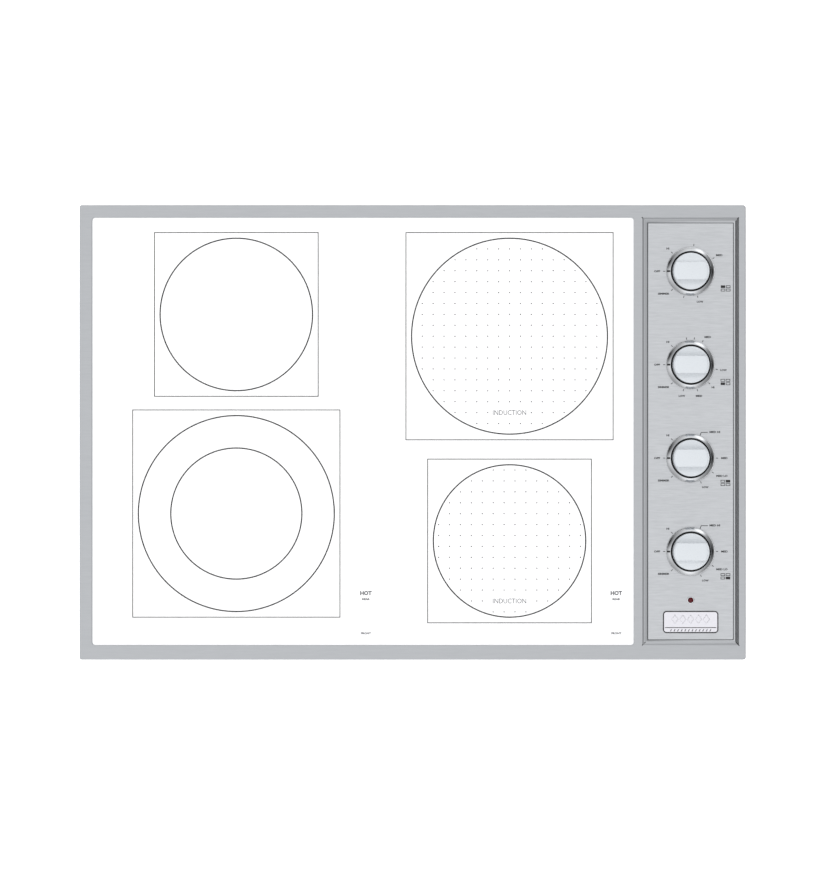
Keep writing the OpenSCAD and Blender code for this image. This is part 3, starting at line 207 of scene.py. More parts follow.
# Matt black, no gloss, that paints shade: in the well inside a drawn chrome skirt and in the gap round the panel,
# where only shade falls, and in the open mitres of the moulding, real gaps whose darkness is painted shade.
BLACK_SHADOW_PAINT = Finish("painted_shade_black", "black_nylon", "0c0c0e", "070708", 0.75, Pattern.GRITTY, 0.4)
# Die-cast zinc badge, silvered and lacquered: pale, with a soft shine.
SILVERED_ZINC = Finish("silvered_zinc_casting", "nameplate_metal", "d6d5db", "cdccd3", 0.3, Pattern.MOULDED, 0.7,
                       metallic=0.25, coat=0.3)
# Dyed acrylic lens, unlit: near black red with a hard gloss.
RED_ACRYLIC = Finish("acrylic_dark_red", "red_lens", "5c0610", "3c030a", 0.2, Pattern.MOULDED, 1.0, ior=1.3)
# Cured silicone sealant: translucent grey white, waxy.
SILICONE = Finish("silicone_pale", "silicone", "d3d5d8", "c8cacd", 0.45, Pattern.MOULDED, 1.5, relief_mm=0.01)
# Closed-cell EPDM foam tape: black and dull, with open cells at the cut edge.
FOAM_TAPE = Finish("epdm_foam", "foam_rubber", "232324", "101011", 0.9, Pattern.GRITTY, 0.7, relief_mm=0.15)
# Hot-dip galvanised sheet: flat zinc crystals about 7 mm across, each with its own grey.
GALVANISED_SHEET = Finish("galvanised_spangle", "galvanised_steel", "b4b8bc", "8e9297", 0.42, Pattern.SPANGLE,
                          7.0, metallic=0.9, gloss_swing=0.1)
# Blue-passivated zinc on machined steel: bright, slightly uneven.
ZINC_PLATE = Finish("zinc_passivated", "zinc_plated_steel", "c2c6ca", "9fa6ad", 0.32, Pattern.MOULDED, 2.0,
                    metallic=1.0)
# Nickel-plated brass: warm silver.
NICKEL_PLATE = Finish("nickel_plate", "nickel_plated_brass", "c7c1b4", "aea798", 0.28, Pattern.MOULDED, 2.0,
                      metallic=1.0)
# Free-cutting brass.
BRASS = Finish("brass_turned", "brass", "d0a95c", "a8833f", 0.3, Pattern.BRUSHED, 0.5, metallic=1.0)
# Mill-finish aluminium: dull streaks from rolling or extrusion.
MILL_ALUMINIUM = Finish("aluminium_mill", "aluminium_sheet", "c4c6c8", "a6a9ac", 0.4, Pattern.BRUSHED, 1.2,
                        metallic=1.0)
# Enamelled copper strands, twisted into a rope: red brown with dark valleys.
COPPER_LITZ = Finish("copper_litz", "copper_litz", "c27442", "5c2d16", 0.38, Pattern.STRANDED, 0.9, metallic=0.85,
                     relief_mm=0.12)
# Sintered manganese-zinc ferrite: charcoal, with a fine pressed grain.
FERRITE = Finish("ferrite_sintered", "ferrite", "3a3b3d", "1f2022", 0.6, Pattern.GRITTY, 0.5, relief_mm=0.03)
# Bonded mica sheet: honey coloured flakes with a weak shine.
MICA = Finish("mica_sheet", "mica", "c6b489", "94804f", 0.4, Pattern.SPANGLE, 4.0, coat=0.2)
# Steatite: a warm white unglazed ceramic.
STEATITE = Finish("steatite", "ceramic_insulator", "efe9dc", "e0d8c7", 0.6, Pattern.GRITTY, 0.8, relief_mm=0.02)
# Pressed microporous silica: chalky, with fibres.
INSULATION = Finish("microporous_silica", "microporous_insulation", "e8e3d8", "cfc8b8", 0.95, Pattern.FIBRE, 1.5,
                    relief_mm=0.25)
# Iron-chromium-aluminium ribbon, oxidised in use: dark grey brown.
RESISTANCE_RIBBON = Finish("fecral_ribbon", "resistance_alloy", "6b625b", "3a332e", 0.55, Pattern.BRUSHED, 0.8,
                           metallic=0.8)
# Hardened spring strip and wire: blue grey.
SPRING_STEEL = Finish("spring_steel", "spring_steel", "8c9096", "63676e", 0.35, Pattern.BRUSHED, 0.8, metallic=1.0)
# Glass-epoxy board under green solder mask.
SOLDER_MASK = Finish("solder_mask_green", "circuit_board", "1d6a3d", "114426", 0.35, Pattern.FIBRE, 1.2, coat=0.3)
# Phenolic moulding: brown, slightly mottled.
PHENOLIC = Finish("phenolic_brown", "phenolic", "5a3422", "3d2216", 0.5, Pattern.GRITTY, 0.9)
# Acetal moulding, natural.
ACETAL = Finish("acetal_ivory", "ivory_plastic", "ece4cf", "ddd4bb", 0.45, Pattern.MOULDED, 1.0)
# Glass-filled nylon: black, spark-eroded texture.
BLACK_NYLON = Finish("nylon_black", "black_nylon", "1d1d1f", "121213", 0.6, Pattern.GRITTY, 0.35, relief_mm=0.02)
# Silicone-rubber insulated heat-resisting lead, red.
LEAD_INSULATION = Finish("silicone_lead_red", "wire_insulation", "a3201c", "7c1511", 0.5, Pattern.MOULDED, 1.0)


# ---------------------------------------------------------------- mesh helpers


def span(points: Iterable[Vector]) -> tuple[Vector, Vector]:
    """Finds the lowest and the highest corner of some points."""
    points = list(points)
    return (Vector([min(p[i] for p in points) for i in range(3)]),
            Vector([max(p[i] for p in points) for i in range(3)]))


def grow(rect: Rect, by: float) -> Rect:
    """Makes a rectangle (x0, y0, x1, y1) larger on each side."""
    return rect[0] - by, rect[1] - by, rect[2] + by, rect[3] + by


def pour(bm: bmesh.types.BMesh, mesh: bpy.types.Mesh) -> tuple[list, list]:
    """Adds a mesh to another, removes the first, and returns the new vertices and edges."""
    verts, edges = set(bm.verts), set(bm.edges)
    bm.from_mesh(mesh)
    bpy.data.meshes.remove(mesh)
    return [v for v in bm.verts if v not in verts], [e for e in bm.edges if e not in edges]


@dataclass(frozen=True)
class Outline:
    """A rectangle with round corners at a height, in metres; a radius of 0 keeps its corners square."""

    rect: Rect
    radius: float
    z: float

    def grown(self, by: float, up: float = 0.0) -> "Outline":
        """Makes a copy that stands further out all round, with its round corners kept concentric."""
        return Outline(grow(self.rect, by), self.radius + by if self.radius else 0.0, self.z + up)

    def draw(self, bm: bmesh.types.BMesh, segments: int) -> list:
        """Adds the outline to a mesh and returns its edges."""
        x0, y0, x1, y1 = self.rect
        place = (Matrix.Translation(((x0 + x1) / 2, (y0 + y1) / 2, self.z))
                 @ Matrix.Diagonal((x1 - x0, y1 - y0, 1, 1)))
        part = bmesh.new()
        corners = bmesh.ops.create_grid(part, x_segments=1, y_segments=1, size=0.5, matrix=place)["verts"]
        if self.radius:
            bmesh.ops.bevel(part, geom=corners, offset=self.radius, segments=segments, profile=0.5,
                            affect="VERTICES", material=-1)
        bmesh.ops.delete(part, geom=part.faces[:], context="FACES_ONLY")
        flat = bpy.data.meshes.new("outline")
        part.to_mesh(flat)
        part.free()
        return pour(bm, flat)[1]

    def match(self, point: Vector, other: "Outline") -> Vector:
        """Gives the point of another outline that stands for a point of this one."""
        spots = []
        for axis in (0, 1):
            side = 1 if point[axis] > (self.rect[axis] + self.rect[axis + 2]) / 2 else -1
            own, new = ((o.rect[axis] + o.rect[axis + 2]) / 2
                        + side * ((o.rect[axis + 2] - o.rect[axis]) / 2 - o.radius) for o in (self, other))
            along = (point[axis] - own) / self.radius if self.radius else 0.0
            spots.append(new + along * other.radius)
        return Vector((*spots, other.z))


def walls(bm: bmesh.types.BMesh, outlines: list[Outline], segments: int = 6) -> tuple[list, list]:
    """Sweeps a wall through outlines.

    Args:
        bm: the mesh that takes it.
        outlines: in order; where the last equals the first, the wall closes on itself.
        segments: steps on each round corner.
    Returns:
        The edges of the first and of the last outline.
    """
    first = edges = outlines[0].draw(bm, segments)
    for one, two in zip(outlines, outlines[1:]):
        grown = bmesh.ops.extrude_edge_only(bm, edges=edges)["geom"]
        verts = {v for v in grown if isinstance(v, bmesh.types.BMVert)}
        for vert in verts:
            vert.co = one.match(vert.co, two)
        edges = [e for e in grown if isinstance(e, bmesh.types.BMEdge) and verts.issuperset(e.verts)]
    if outlines[0] == outlines[-1]:
        bmesh.ops.remove_doubles(bm, verts=bm.verts, dist=1e-7)
    return first, edges


def plate(outlines: list[Outline], segments: int = 6) -> bmesh.types.BMesh:
    """Makes a closed plate: a wall through outlines, with a flat face at each end."""
    bm = bmesh.new()
    for edges in walls(bm, outlines, segments):
        bmesh.ops.contextual_create(bm, geom=edges)
    return bm


def lathe(bm: bmesh.types.BMesh, profile: list[tuple[float, float]], centre: Vector, steps: int = 96,
          closed: bool = False) -> None:
    """Turns a profile about a vertical axis.

    Args:
        bm: the mesh that takes it.
        profile: (radius, height) points, in metres.
        centre: the axis passes through it, and heights count from it.
        steps: round the turn.
        closed: whether the profile's last point joins its first.
    """
    verts = [bm.verts.new(centre + Vector((r, 0, z))) for r, z in profile]
    pairs = zip(verts, verts[1:] + verts[:1]) if closed else zip(verts, verts[1:])
    edges = [bm.edges.new(pair) for pair in pairs]
    bmesh.ops.spin(bm, geom=verts + edges, cent=centre, axis=(0, 0, 1), angle=math.tau, steps=steps,
                   use_merge=True)
    bmesh.ops.remove_doubles(bm, verts=bm.verts, dist=1e-7)


def fillet(radius: float, height: float, size: float, steps: int = 4) -> list[tuple[float, float]]:
    """Profile points of a quarter round that turns an outer wall into a top, from the wall to the top."""
    return [(radius - size + size * math.cos(a), height - size + size * math.sin(a))
            for a in (math.pi / 2 * k / steps for k in range(steps + 1))]


def bar(bm: bmesh.types.BMesh, low: Vector, high: Vector, turn: Matrix | None = None) -> None:
    """Adds a box from corner to corner, turned about its own frame if asked."""
    size, middle = high - low, (high + low) / 2
    matrix = Matrix.Translation(middle) @ Matrix.Diagonal((*size, 1))
    bmesh.ops.create_cube(bm, size=1, matrix=(turn @ matrix) if turn else matrix)


def copy_node(node: str, bevel_mm: float = 0.0, sharp: float = 40.0) -> bmesh.types.BMesh:
    """Copies a CAD node's mesh, merges it, and rounds its sharp edges.

    Args:
        node: the CAD node's name.
        bevel_mm: the width of the rounding; 0 leaves the edges.
        sharp: edges that turn by more than this many degrees are rounded.
    Returns:
        A new mesh.
    """
    bm = bmesh.new()
    bm.from_mesh(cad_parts[node].data)
    bmesh.ops.remove_doubles(bm, verts=bm.verts, dist=2e-6)
    bmesh.ops.dissolve_limit(bm, angle_limit=math.radians(0.5), verts=bm.verts, edges=bm.edges, delimit={"NORMAL"})
    if bevel_mm:
        edges = [e for e in bm.edges if len(e.link_faces) == 2 and e.calc_face_angle(0.0) > math.radians(sharp)]
        bmesh.ops.bevel(bm, geom=edges, offset=bevel_mm * MM, segments=2, profile=0.5, affect="EDGES", material=-1,
                        clamp_overlap=True)
    return bm


@dataclass
class SubAssembly:
    """Pieces that are built and dressed together."""

    body: str = ROOT
    pieces: list[bpy.types.Object] = field(default_factory=list)

    def make(self, bm: bmesh.types.BMesh, name: str, finish: Finish, replaces: tuple[str, ...] = (),
             smooth: float = 30.0, tidy: bool = True, flats: bool = False) -> bpy.types.Object:
        """Turns a mesh into a dressed piece that rides on this sub-assembly's body.

        Args:
            bm: the mesh, which this frees.
            name: the piece's name.
            finish: its surface.
            replaces: CAD nodes that it stands for.
            smooth: edges that turn by less than this many degrees are shaded smooth.
            tidy: whether its faces are turned outwards first.
            flats: whether large faces keep flat shading right up to their rounded edges.
        Returns:
            The object.
        """
        if tidy:
            bmesh.ops.recalc_face_normals(bm, faces=bm.faces)
        mesh = bpy.data.meshes.new(name)
        bm.to_mesh(mesh)
        bm.free()
        mesh.shade_smooth()
        mesh.set_sharp_from_angle(angle=math.radians(smooth))
        mesh.materials.append(finish.material())
        piece = bpy.data.objects.new(name, mesh)
        bpy.context.scene.collection.objects.link(piece)
        if flats:
            piece.modifiers.new("flat_faces", "WEIGHTED_NORMAL").keep_sharp = True
        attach(piece, self.body)
        if replaces:
            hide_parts(*replaces)
        self.pieces.append(piece)
        LOG.info("%s: %d faces, %s", name, len(mesh.polygons), finish.name)
        return piece

    def dress(self, finish: Finish, *nodes: str) -> None:
        """Gives CAD nodes that keep their shape a finish."""
        for node in nodes:
            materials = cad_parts[node].data.materials
            materials.clear()
            materials.append(finish.material())
            LOG.info("%s: dressed, %s", node, finish.name)

    def round_off(self, node: str, bevel_mm: float, name: str, finish: Finish) -> None:
        """Stands a copy of a CAD node, with its edges rounded, in for the node."""
        self.make(copy_node(node, bevel_mm), name, finish, (node,), smooth=35, flats=True)


# ---------------------------------------------------------------- lettering and printed lines


@dataclass(frozen=True)
class Print:
    """Ink on a surface: where its surface lies, and how thick the ink stands."""

    z: float
    thickness: float = 0.04 * MM
    sink: float = 0.02 * MM

    def raise_faces(self, bm: bmesh.types.BMesh, faces: list) -> None:
        """Gives flat ink faces, which lie just inside the surface, their thickness."""
        grown = bmesh.ops.extrude_face_region(bm, geom=faces)["geom"]
        bmesh.ops.translate(bm, verts=[v for v in grown if isinstance(v, bmesh.types.BMVert)],
                            vec=(0, 0, self.thickness + self.sink))

    def ring(self, bm: bmesh.types.BMesh, centre: Vector, radius: float, width: float, steps: int = 160) -> None:
        """Prints a circle line."""
        half, low, high = width / 2, self.z - self.sink, self.z + self.thickness
        lathe(bm, [(radius - half, low), (radius + half, low), (radius + half, high), (radius - half, high)],
              Vector((centre.x, centre.y, 0)), steps, closed=True)

    def outline(self, bm: bmesh.types.BMesh, rect: Rect, width: float, radius: float = 0.0) -> None:
        """Prints the line of a rectangle, with round corners if asked."""
        middle = Outline(rect, radius, self.z)
        inner_low, outer_low, outer_high, inner_high = (
            middle.grown(side * width / 2, up) for side, up in
            ((-1, -self.sink), (1, -self.sink), (1, self.thickness), (-1, self.thickness)))
        walls(bm, [inner_low, outer_low, outer_high, inner_high, inner_low])

    def dash(self, bm: bmesh.types.BMesh, middle: Vector, length: float, width: float, angle: float) -> None:
        """Prints a straight dash whose length lies along an angle in degrees."""
        turn = Matrix.Translation((middle.x, middle.y, self.z)) @ Matrix.Rotation(math.radians(angle), 4, "Z")
        bar(bm, Vector((-length / 2, -width / 2, -self.sink)), Vector((length / 2, width / 2, self.thickness)),
            turn)

    def dots(self, bm: bmesh.types.BMesh, centres: list[Vector], radius: float) -> None:
        """Prints round dots of a dozen sides."""
        for centre in centres:
            made = bmesh.ops.create_circle(bm, cap_ends=True, radius=radius, segments=12,
                                           matrix=Matrix.Translation((centre.x, centre.y, self.z - self.sink)))
            self.raise_faces(bm, list({f for v in made["verts"] for f in v.link_faces}))

    def words(self, bm: bmesh.types.BMesh, text: str, middle: Vector, cap: float, width: float,
              bold: float = 0.045) -> None:
        """Prints a word.

        Args:
            bm: the mesh that takes it.
            text: in capitals.
            middle: of the word.
            cap: height of its capitals.
            width: of the whole word.
            bold: how far each stroke is widened on either side, as a share of the type size.
        """
        curve = bpy.data.curves.new("word", "FONT")
        curve.body = text
        curve.resolution_u = 2
        curve.offset = bold
        curve.extrude = 0.5
        holder = bpy.data.objects.new("word", curve)
        bpy.context.scene.collection.objects.link(holder)
        bpy.context.view_layer.update()
        flat = bpy.data.meshes.new_from_object(holder.evaluated_get(bpy.context.evaluated_depsgraph_get()))
        low, high = span(v.co for v in flat.vertices)
        scale = Vector((width / (high.x - low.x), cap / (high.y - low.y), self.thickness + self.sink))
        shift = Matrix.Translation((middle.x, middle.y, self.z + (self.thickness - self.sink) / 2))
        flat.transform(shift @ Matrix.Diagonal((*scale, 1)) @ Matrix.Translation(-(low + high) / 2))
        bmesh.ops.remove_doubles(bm, verts=pour(bm, flat)[0], dist=1e-6)
        bpy.data.objects.remove(holder)
        bpy.data.curves.remove(curve)


# ---------------------------------------------------------------- trim frame and glass


@dataclass
class TrimFrame(SubAssembly):
    """The pressed steel frame with its raised, mitred moulding round the controls."""

    corner_mm: float = 3.0
    glass_corner_mm: float = 4.0
    edge_mm: float = 0.9
    lip_mm: float = 0.5
    sheet_mm: float = 0.8
    hold_mm: float = 0.25
    rise_mm: float = 3.0
    panel_gap_mm: float = 0.5
    # the floor of the recess: how far it lies under the crest, and how far it reaches under the panel
    floor_drop_mm: float = 1.7
    seat_mm: float = 4.0
    # the lip at the outer edge, over the worktop: its clearance and its straight height
    lip_clear_mm: float = 0.3
    lip_height_mm: float = 2.0
    ledge_mm: float = 9.0
    hanger_mm: float = 1.2
    # across the moulding, from the recess to the rim: distance out from the recess, and drop from the crest
    moulding_mm: tuple[tuple[float, float], ...] = (
        (0.0, 1.7), (0.0, 0.85), (0.06, 0.66), (0.22, 0.52), (0.45, 0.42), (1.55, 0.06), (1.75, 0.0), (1.95, 0.03),
        (2.15, 0.12), (3.55, 0.98), (3.75, 1.06), (4.05, 1.12), (4.25, 1.24), (6.05, 2.8), (6.2, 2.9), (6.4, 3.0),
        (6.8, 3.0))
    # open mitres, real gaps whose darkness is painted as black strips of shade: the corner's side in x and y, and
    # where the gap starts and ends, out from the recess
    mitre_shades_mm: tuple[tuple[int, int, float, float], ...] = (
        (1, -1, 2.8, 6.9), (-1, -1, 2.6, 3.9), (-1, -1, 5.2, 6.4), (-1, 1, 5.4, 6.6), (1, 1, 4.4, 6.4))
    mitre_shade_size_mm: tuple[float, float] = (1.0, 0.24)
    # the slope starts this far out and falls by this much per millimetre
    slope_from_mm: float = 2.0
    slope_fall: float = 0.66

    def build(self) -> None:
        """Builds the sheet, the wall that hangs inside the box, and dresses the gasket."""
        low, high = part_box("trim_frame")
        seal_low, seal_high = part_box("glass_seal")
        panel_low, panel_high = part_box("control_panel")
        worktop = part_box("worktop_gasket")[0].z
        rim = high.z - self.rise_mm * MM
        bm = bmesh.new()
        opening = Outline((seal_low.x, seal_low.y, seal_high.x, seal_high.y), self.glass_corner_mm * MM, rim)
        recess = Outline(grow((panel_low.x, panel_low.y, panel_high.x, panel_high.y), self.panel_gap_mm * MM),
                         0.0, high.z)
        rims = [self._edge(bm, Outline((low.x, low.y, high.x, high.y), self.corner_mm * MM, rim), worktop),
                self._step(bm, opening, seal_low.z),
                walls(bm, [recess.grown(-self.seat_mm * MM, -self.floor_drop_mm * MM),
                           *(recess.grown(out * MM, -drop * MM) for out, drop in self.moulding_mm)])[1]]
        bmesh.ops.triangle_fill(bm, edges=[e for rim_edges in rims for e in rim_edges], use_beauty=True,
                                use_dissolve=False, normal=(0, 0, 1))
        bmesh.ops.recalc_face_normals(bm, faces=bm.faces)
        if sum(f.normal.z * f.calc_area() for f in bm.faces) < 0:
            bmesh.ops.reverse_faces(bm, faces=bm.faces)
        bmesh.ops.solidify(bm, geom=bm.faces[:], thickness=self.sheet_mm * MM)
        self.make(bm, "frame_sheet", SATIN_STAINLESS, ("trim_frame",), smooth=28, tidy=False,
                  flats=True)
        self._hanger(low.z, rim)
        # painted shade in the open mitres and in the gap round the panel
        self._shade_gaps(recess, high.z)
        self.dress(FOAM_TAPE, "worktop_gasket")

    def _shade_gaps(self, recess: Outline, crest: float) -> None:
        """Paints shade as black strips: where a mitre of the moulding stays open, a real gap whose darkness is
        painted, and in the gap round the panel, where only shade falls.
        """
        bm = bmesh.new()
        for side_x, side_y, *reach in self.mitre_shades_mm:
            corner = Vector((recess.rect[1 + side_x], recess.rect[2 + side_y], crest))
            drops = [min(self.rise_mm, (out - self.slope_from_mm) * self.slope_fall) for out in reach]
            start, end = (corner + Vector((side_x * out, side_y * out, -drop)) * MM
                          for out, drop in zip(reach, drops))
            along = end - start
            turn = Matrix.Translation((start + end) / 2) @ along.to_track_quat("X", "Z").to_matrix().to_4x4()
            half = Vector((along.length / MM, *self.mitre_shade_size_mm)) * MM / 2
            bar(bm, -half, half, turn)
        # black strips in the open mitres: painted shade in real gaps
        self.make(bm, "mitre_gap_shade", BLACK_SHADOW_PAINT)
        # a black ring down in the gap round the panel: painted shade
        gap = bmesh.new()
        base = Outline(recess.rect, 0.0, crest - (self.floor_drop_mm - 0.02) * MM)
        inner, up = -self.panel_gap_mm * MM, self.panel_gap_mm * MM
        walls(gap, [base, base.grown(inner), base.grown(inner, up), base.grown(0.0, up), base])
        self.make(gap, "panel_gap_shade", BLACK_SHADOW_PAINT)

    def _round(self, outline: Outline, size_mm: float, outwards: int) -> list[Outline]:
        """Gives the outlines of a quarter round from a wall, under an outline, up onto the rim."""
        size, steps = size_mm * MM, 4
        turns = [math.pi / 2 * k / steps for k in range(steps + 1)]
        return [outline.grown(outwards * size * (1 - math.cos(a)), -size * (1 - math.sin(a))) for a in turns]

    def _edge(self, bm: bmesh.types.BMesh, outer: Outline, worktop: float) -> list:
        """Builds the outer lip down to the worktop, and returns the edges where it meets the rim."""
        foot = Outline(outer.rect, outer.radius, worktop + self.lip_clear_mm * MM)
        rounded = self._round(outer, self.edge_mm, -1)
        hold = rounded[-1].grown(-self.hold_mm * MM)
        return walls(bm, [foot, foot.grown(0.0, self.lip_height_mm * MM), *rounded, hold])[1]

    def _step(self, bm: bmesh.types.BMesh, opening: Outline, ledge: float) -> list:
        """Builds the ledge that carries the glass and its wall, and returns the edges at the rim."""
        floor = Outline(opening.rect, opening.radius, ledge)
        inner = Outline(grow(opening.rect, -self.ledge_mm * MM), opening.radius, ledge)
        rounded = self._round(opening, self.lip_mm, 1)
        hold = rounded[-1].grown(self.hold_mm * MM)
        return walls(bm, [inner, floor, *rounded, hold])[1]

    def _hanger(self, low: float, high: float) -> None:
        """Builds the wall that stands inside the box and takes its screws."""
        box_low, box_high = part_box("chassis")
        sheet = self.hanger_mm * MM
        outer = Outline(grow((box_low.x, box_low.y, box_high.x, box_high.y), -sheet), 0.0, low)
        up = high - low - self.sheet_mm * MM
        bm = bmesh.new()
        walls(bm, [outer, outer.grown(-sheet), outer.grown(-sheet, up), outer.grown(0.0, up), outer])
        self.make(bm, "frame_hanger", GALVANISED_SHEET)


@dataclass
class GlassTop(SubAssembly):
    """The glass-ceramic top, its polished bevel, its seal and everything that is printed on it."""

    bevel_mm: float = 2.6
    bevel_drop_mm: float = 0.8
    corner_mm: float = 3.2
    line_mm: float = 1.55
    square_line_mm: float = 1.0
    square_margin_mm: float = 6.6
    inner_ring: float = 0.669
    pan_rim_mm: float = 6.0
    coil_margin_mm: float = 9.0
    dot_pitch_mm: float = 12.786
    dot_mm: float = 0.75
    # the dot fields: zone, shift of the grid, its reach, and the row and half width of its gap, in pitches
    fields: tuple[tuple[str, float, float, float, float], ...] = (
        ("right_rear", 0.0, 8.7, -7.0, 1.2), ("right_front", 0.5, 6.7, -5.5, 1.7))
    word_mm: tuple[float, float] = (39.0, 5.7)
    # the hot marks: to the right of the front left zone, and in from the glass's right edge
    hot_x_mm: tuple[float, float] = (151.9, 20.0)
    # their words: height up from the front edge of the glass, capital height and width
    hot_words: tuple[tuple[str, float, float, float], ...] = (
        ("HOT", 60.4, 5.1, 13.5), ("REAR", 53.3, 2.4, 9.0), ("FRONT", 13.3, 2.5, 11.8))

    def _glass(self) -> None:
        """Builds the glass plate with its bevel, which rounds into the flat top."""
        low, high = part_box("glass_panel")
        top = Outline((low.x, low.y, high.x, high.y), self.corner_mm * MM, high.z)
        bevel, drop = self.bevel_mm * MM, self.bevel_drop_mm * MM
        # inset and height as shares of the bevel
        profile = ((0.0, 1.0), (0.06, 0.9), (0.7, 0.22), (0.85, 0.08), (1.0, 0.0), (1.3, 0.0))
        outlines = [Outline(top.rect, top.radius, low.z)]
        for inset, fall in profile:
            rect = grow(top.rect, -inset * bevel)
            outlines.append(Outline(rect, top.radius, high.z - fall * drop))
        self.make(plate(outlines, 8), "glass_top", WHITE_GLASS_CERAMIC, ("glass_panel",), smooth=40,
                  flats=True)

    def _zones(self) -> dict[str, tuple[Vector, float]]:
        """Reads each zone's middle and radius off the CAD pieces under the glass."""
        zones = {}
        for place, node in (("left_rear", "element_pan_rear"), ("left_front", "element_pan_front")):
            low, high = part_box(node)
            zones[place] = ((low + high) / 2, (high.x - low.x) / 2 - self.pan_rim_mm * MM)
        low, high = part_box("mica_discs")
        middle_x, rear_r, margin = (low.x + high.x) / 2, (high.x - low.x) / 2, self.coil_margin_mm * MM
        zones["right_rear"] = (Vector((middle_x, high.y - rear_r, 0)), rear_r + margin)
        small = zones["left_rear"][1]
        zones["right_front"] = (Vector((middle_x, low.y + small - margin, 0)), small)
        return zones

    def build(self) -> None:
        """Builds the glass and its prints."""
        self._glass()
        self.dress(SILICONE, "glass_seal")
        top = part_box("glass_panel")[1].z
        ink = Print(top)
        zones = self._zones()
        rings, squares = bmesh.new(), bmesh.new()
        for middle, radius in zones.values():
            ink.ring(rings, middle, radius, self.line_mm * MM)
            half = radius + self.square_margin_mm * MM
            ink.outline(squares, (middle.x - half, middle.y - half, middle.x + half, middle.y + half),
                        self.square_line_mm * MM)
        middle, radius = zones["left_front"]
        ink.ring(rings, middle, radius * self.inner_ring, self.line_mm * MM)
        self.make(rings, "zone_rings", BLACK_CERAMIC_INK)
        self.make(squares, "zone_squares", BLACK_CERAMIC_INK)
        self._dots(ink, zones)
        self._labels(ink, zones)

    def _dots(self, ink: Print, zones: dict[str, tuple[Vector, float]]) -> None:
        """Prints the dot fields of the induction zones, with the word in a gap of the grid."""
        pitch = self.dot_pitch_mm * MM
        width, cap = (v * MM for v in self.word_mm)
        for place, offset, reach, row, half_gap in self.fields:
            middle = zones[place][0]
            steps = [i + offset for i in range(-9, 10)]
            spots = [Vector((x, y)) for x in steps for y in steps
                     if math.hypot(x, y) <= reach and not (y == row and abs(x) < half_gap)]
            bm = bmesh.new()
            ink.dots(bm, [middle + Vector((s.x * pitch, s.y * pitch, 0)) for s in spots], self.dot_mm * MM)
            self.make(bm, f"dots_{place}", BLACK_CERAMIC_INK, smooth=20)
            word = bmesh.new()
            ink.words(word, "INDUCTION", middle + Vector((0, row * pitch, 0)), cap, width, 0.0)
            self.make(word, f"word_{place}", GREY_CERAMIC_INK, smooth=20)

    def _labels(self, ink: Print, zones: dict[str, tuple[Vector, float]]) -> None:
        """Prints the marks that say which zone is still hot, over the lamps under the glass."""
        low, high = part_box("glass_panel")
        after, before = (v * MM for v in self.hot_x_mm)
        for side, x in (("left", zones["left_front"][0].x + after), ("right", high.x - before)):
            bm = bmesh.new()
            for text, up, cap, width in self.hot_words:
                ink.words(bm, text, Vector((x, low.y + up * MM, 0)), cap * MM, width * MM)
            self.make(bm, f"hot_marks_{side}", GREY_CERAMIC_INK, smooth=20)


# ---------------------------------------------------------------- control panel


@dataclass(frozen=True)
class Mark:
    """A word on a dial, in polar form about the knob, with its own tick."""

    word: str
    angle: float
    reach_mm: float
    width_mm: float
    tick: float | None = None


OFF = Mark("OFF", 180, 39.3, 7.2, 180)
HIGH = Mark("HI", 135, 37.7, 3.3, 135)
SIMMER = Mark("SIMMER", -140.3, 41.1, 13.6, -135)
INDUCTION_MARKS = (OFF, HIGH, SIMMER, Mark("MED HI", 47.2, 41.7, 12.4), Mark("MED", 0, 39.6, 7.6, 0),
                   Mark("MED LO", -29.6, 42.2, 13.2, -33), Mark("LOW", -63.1, 38.1, 7.6, -67))


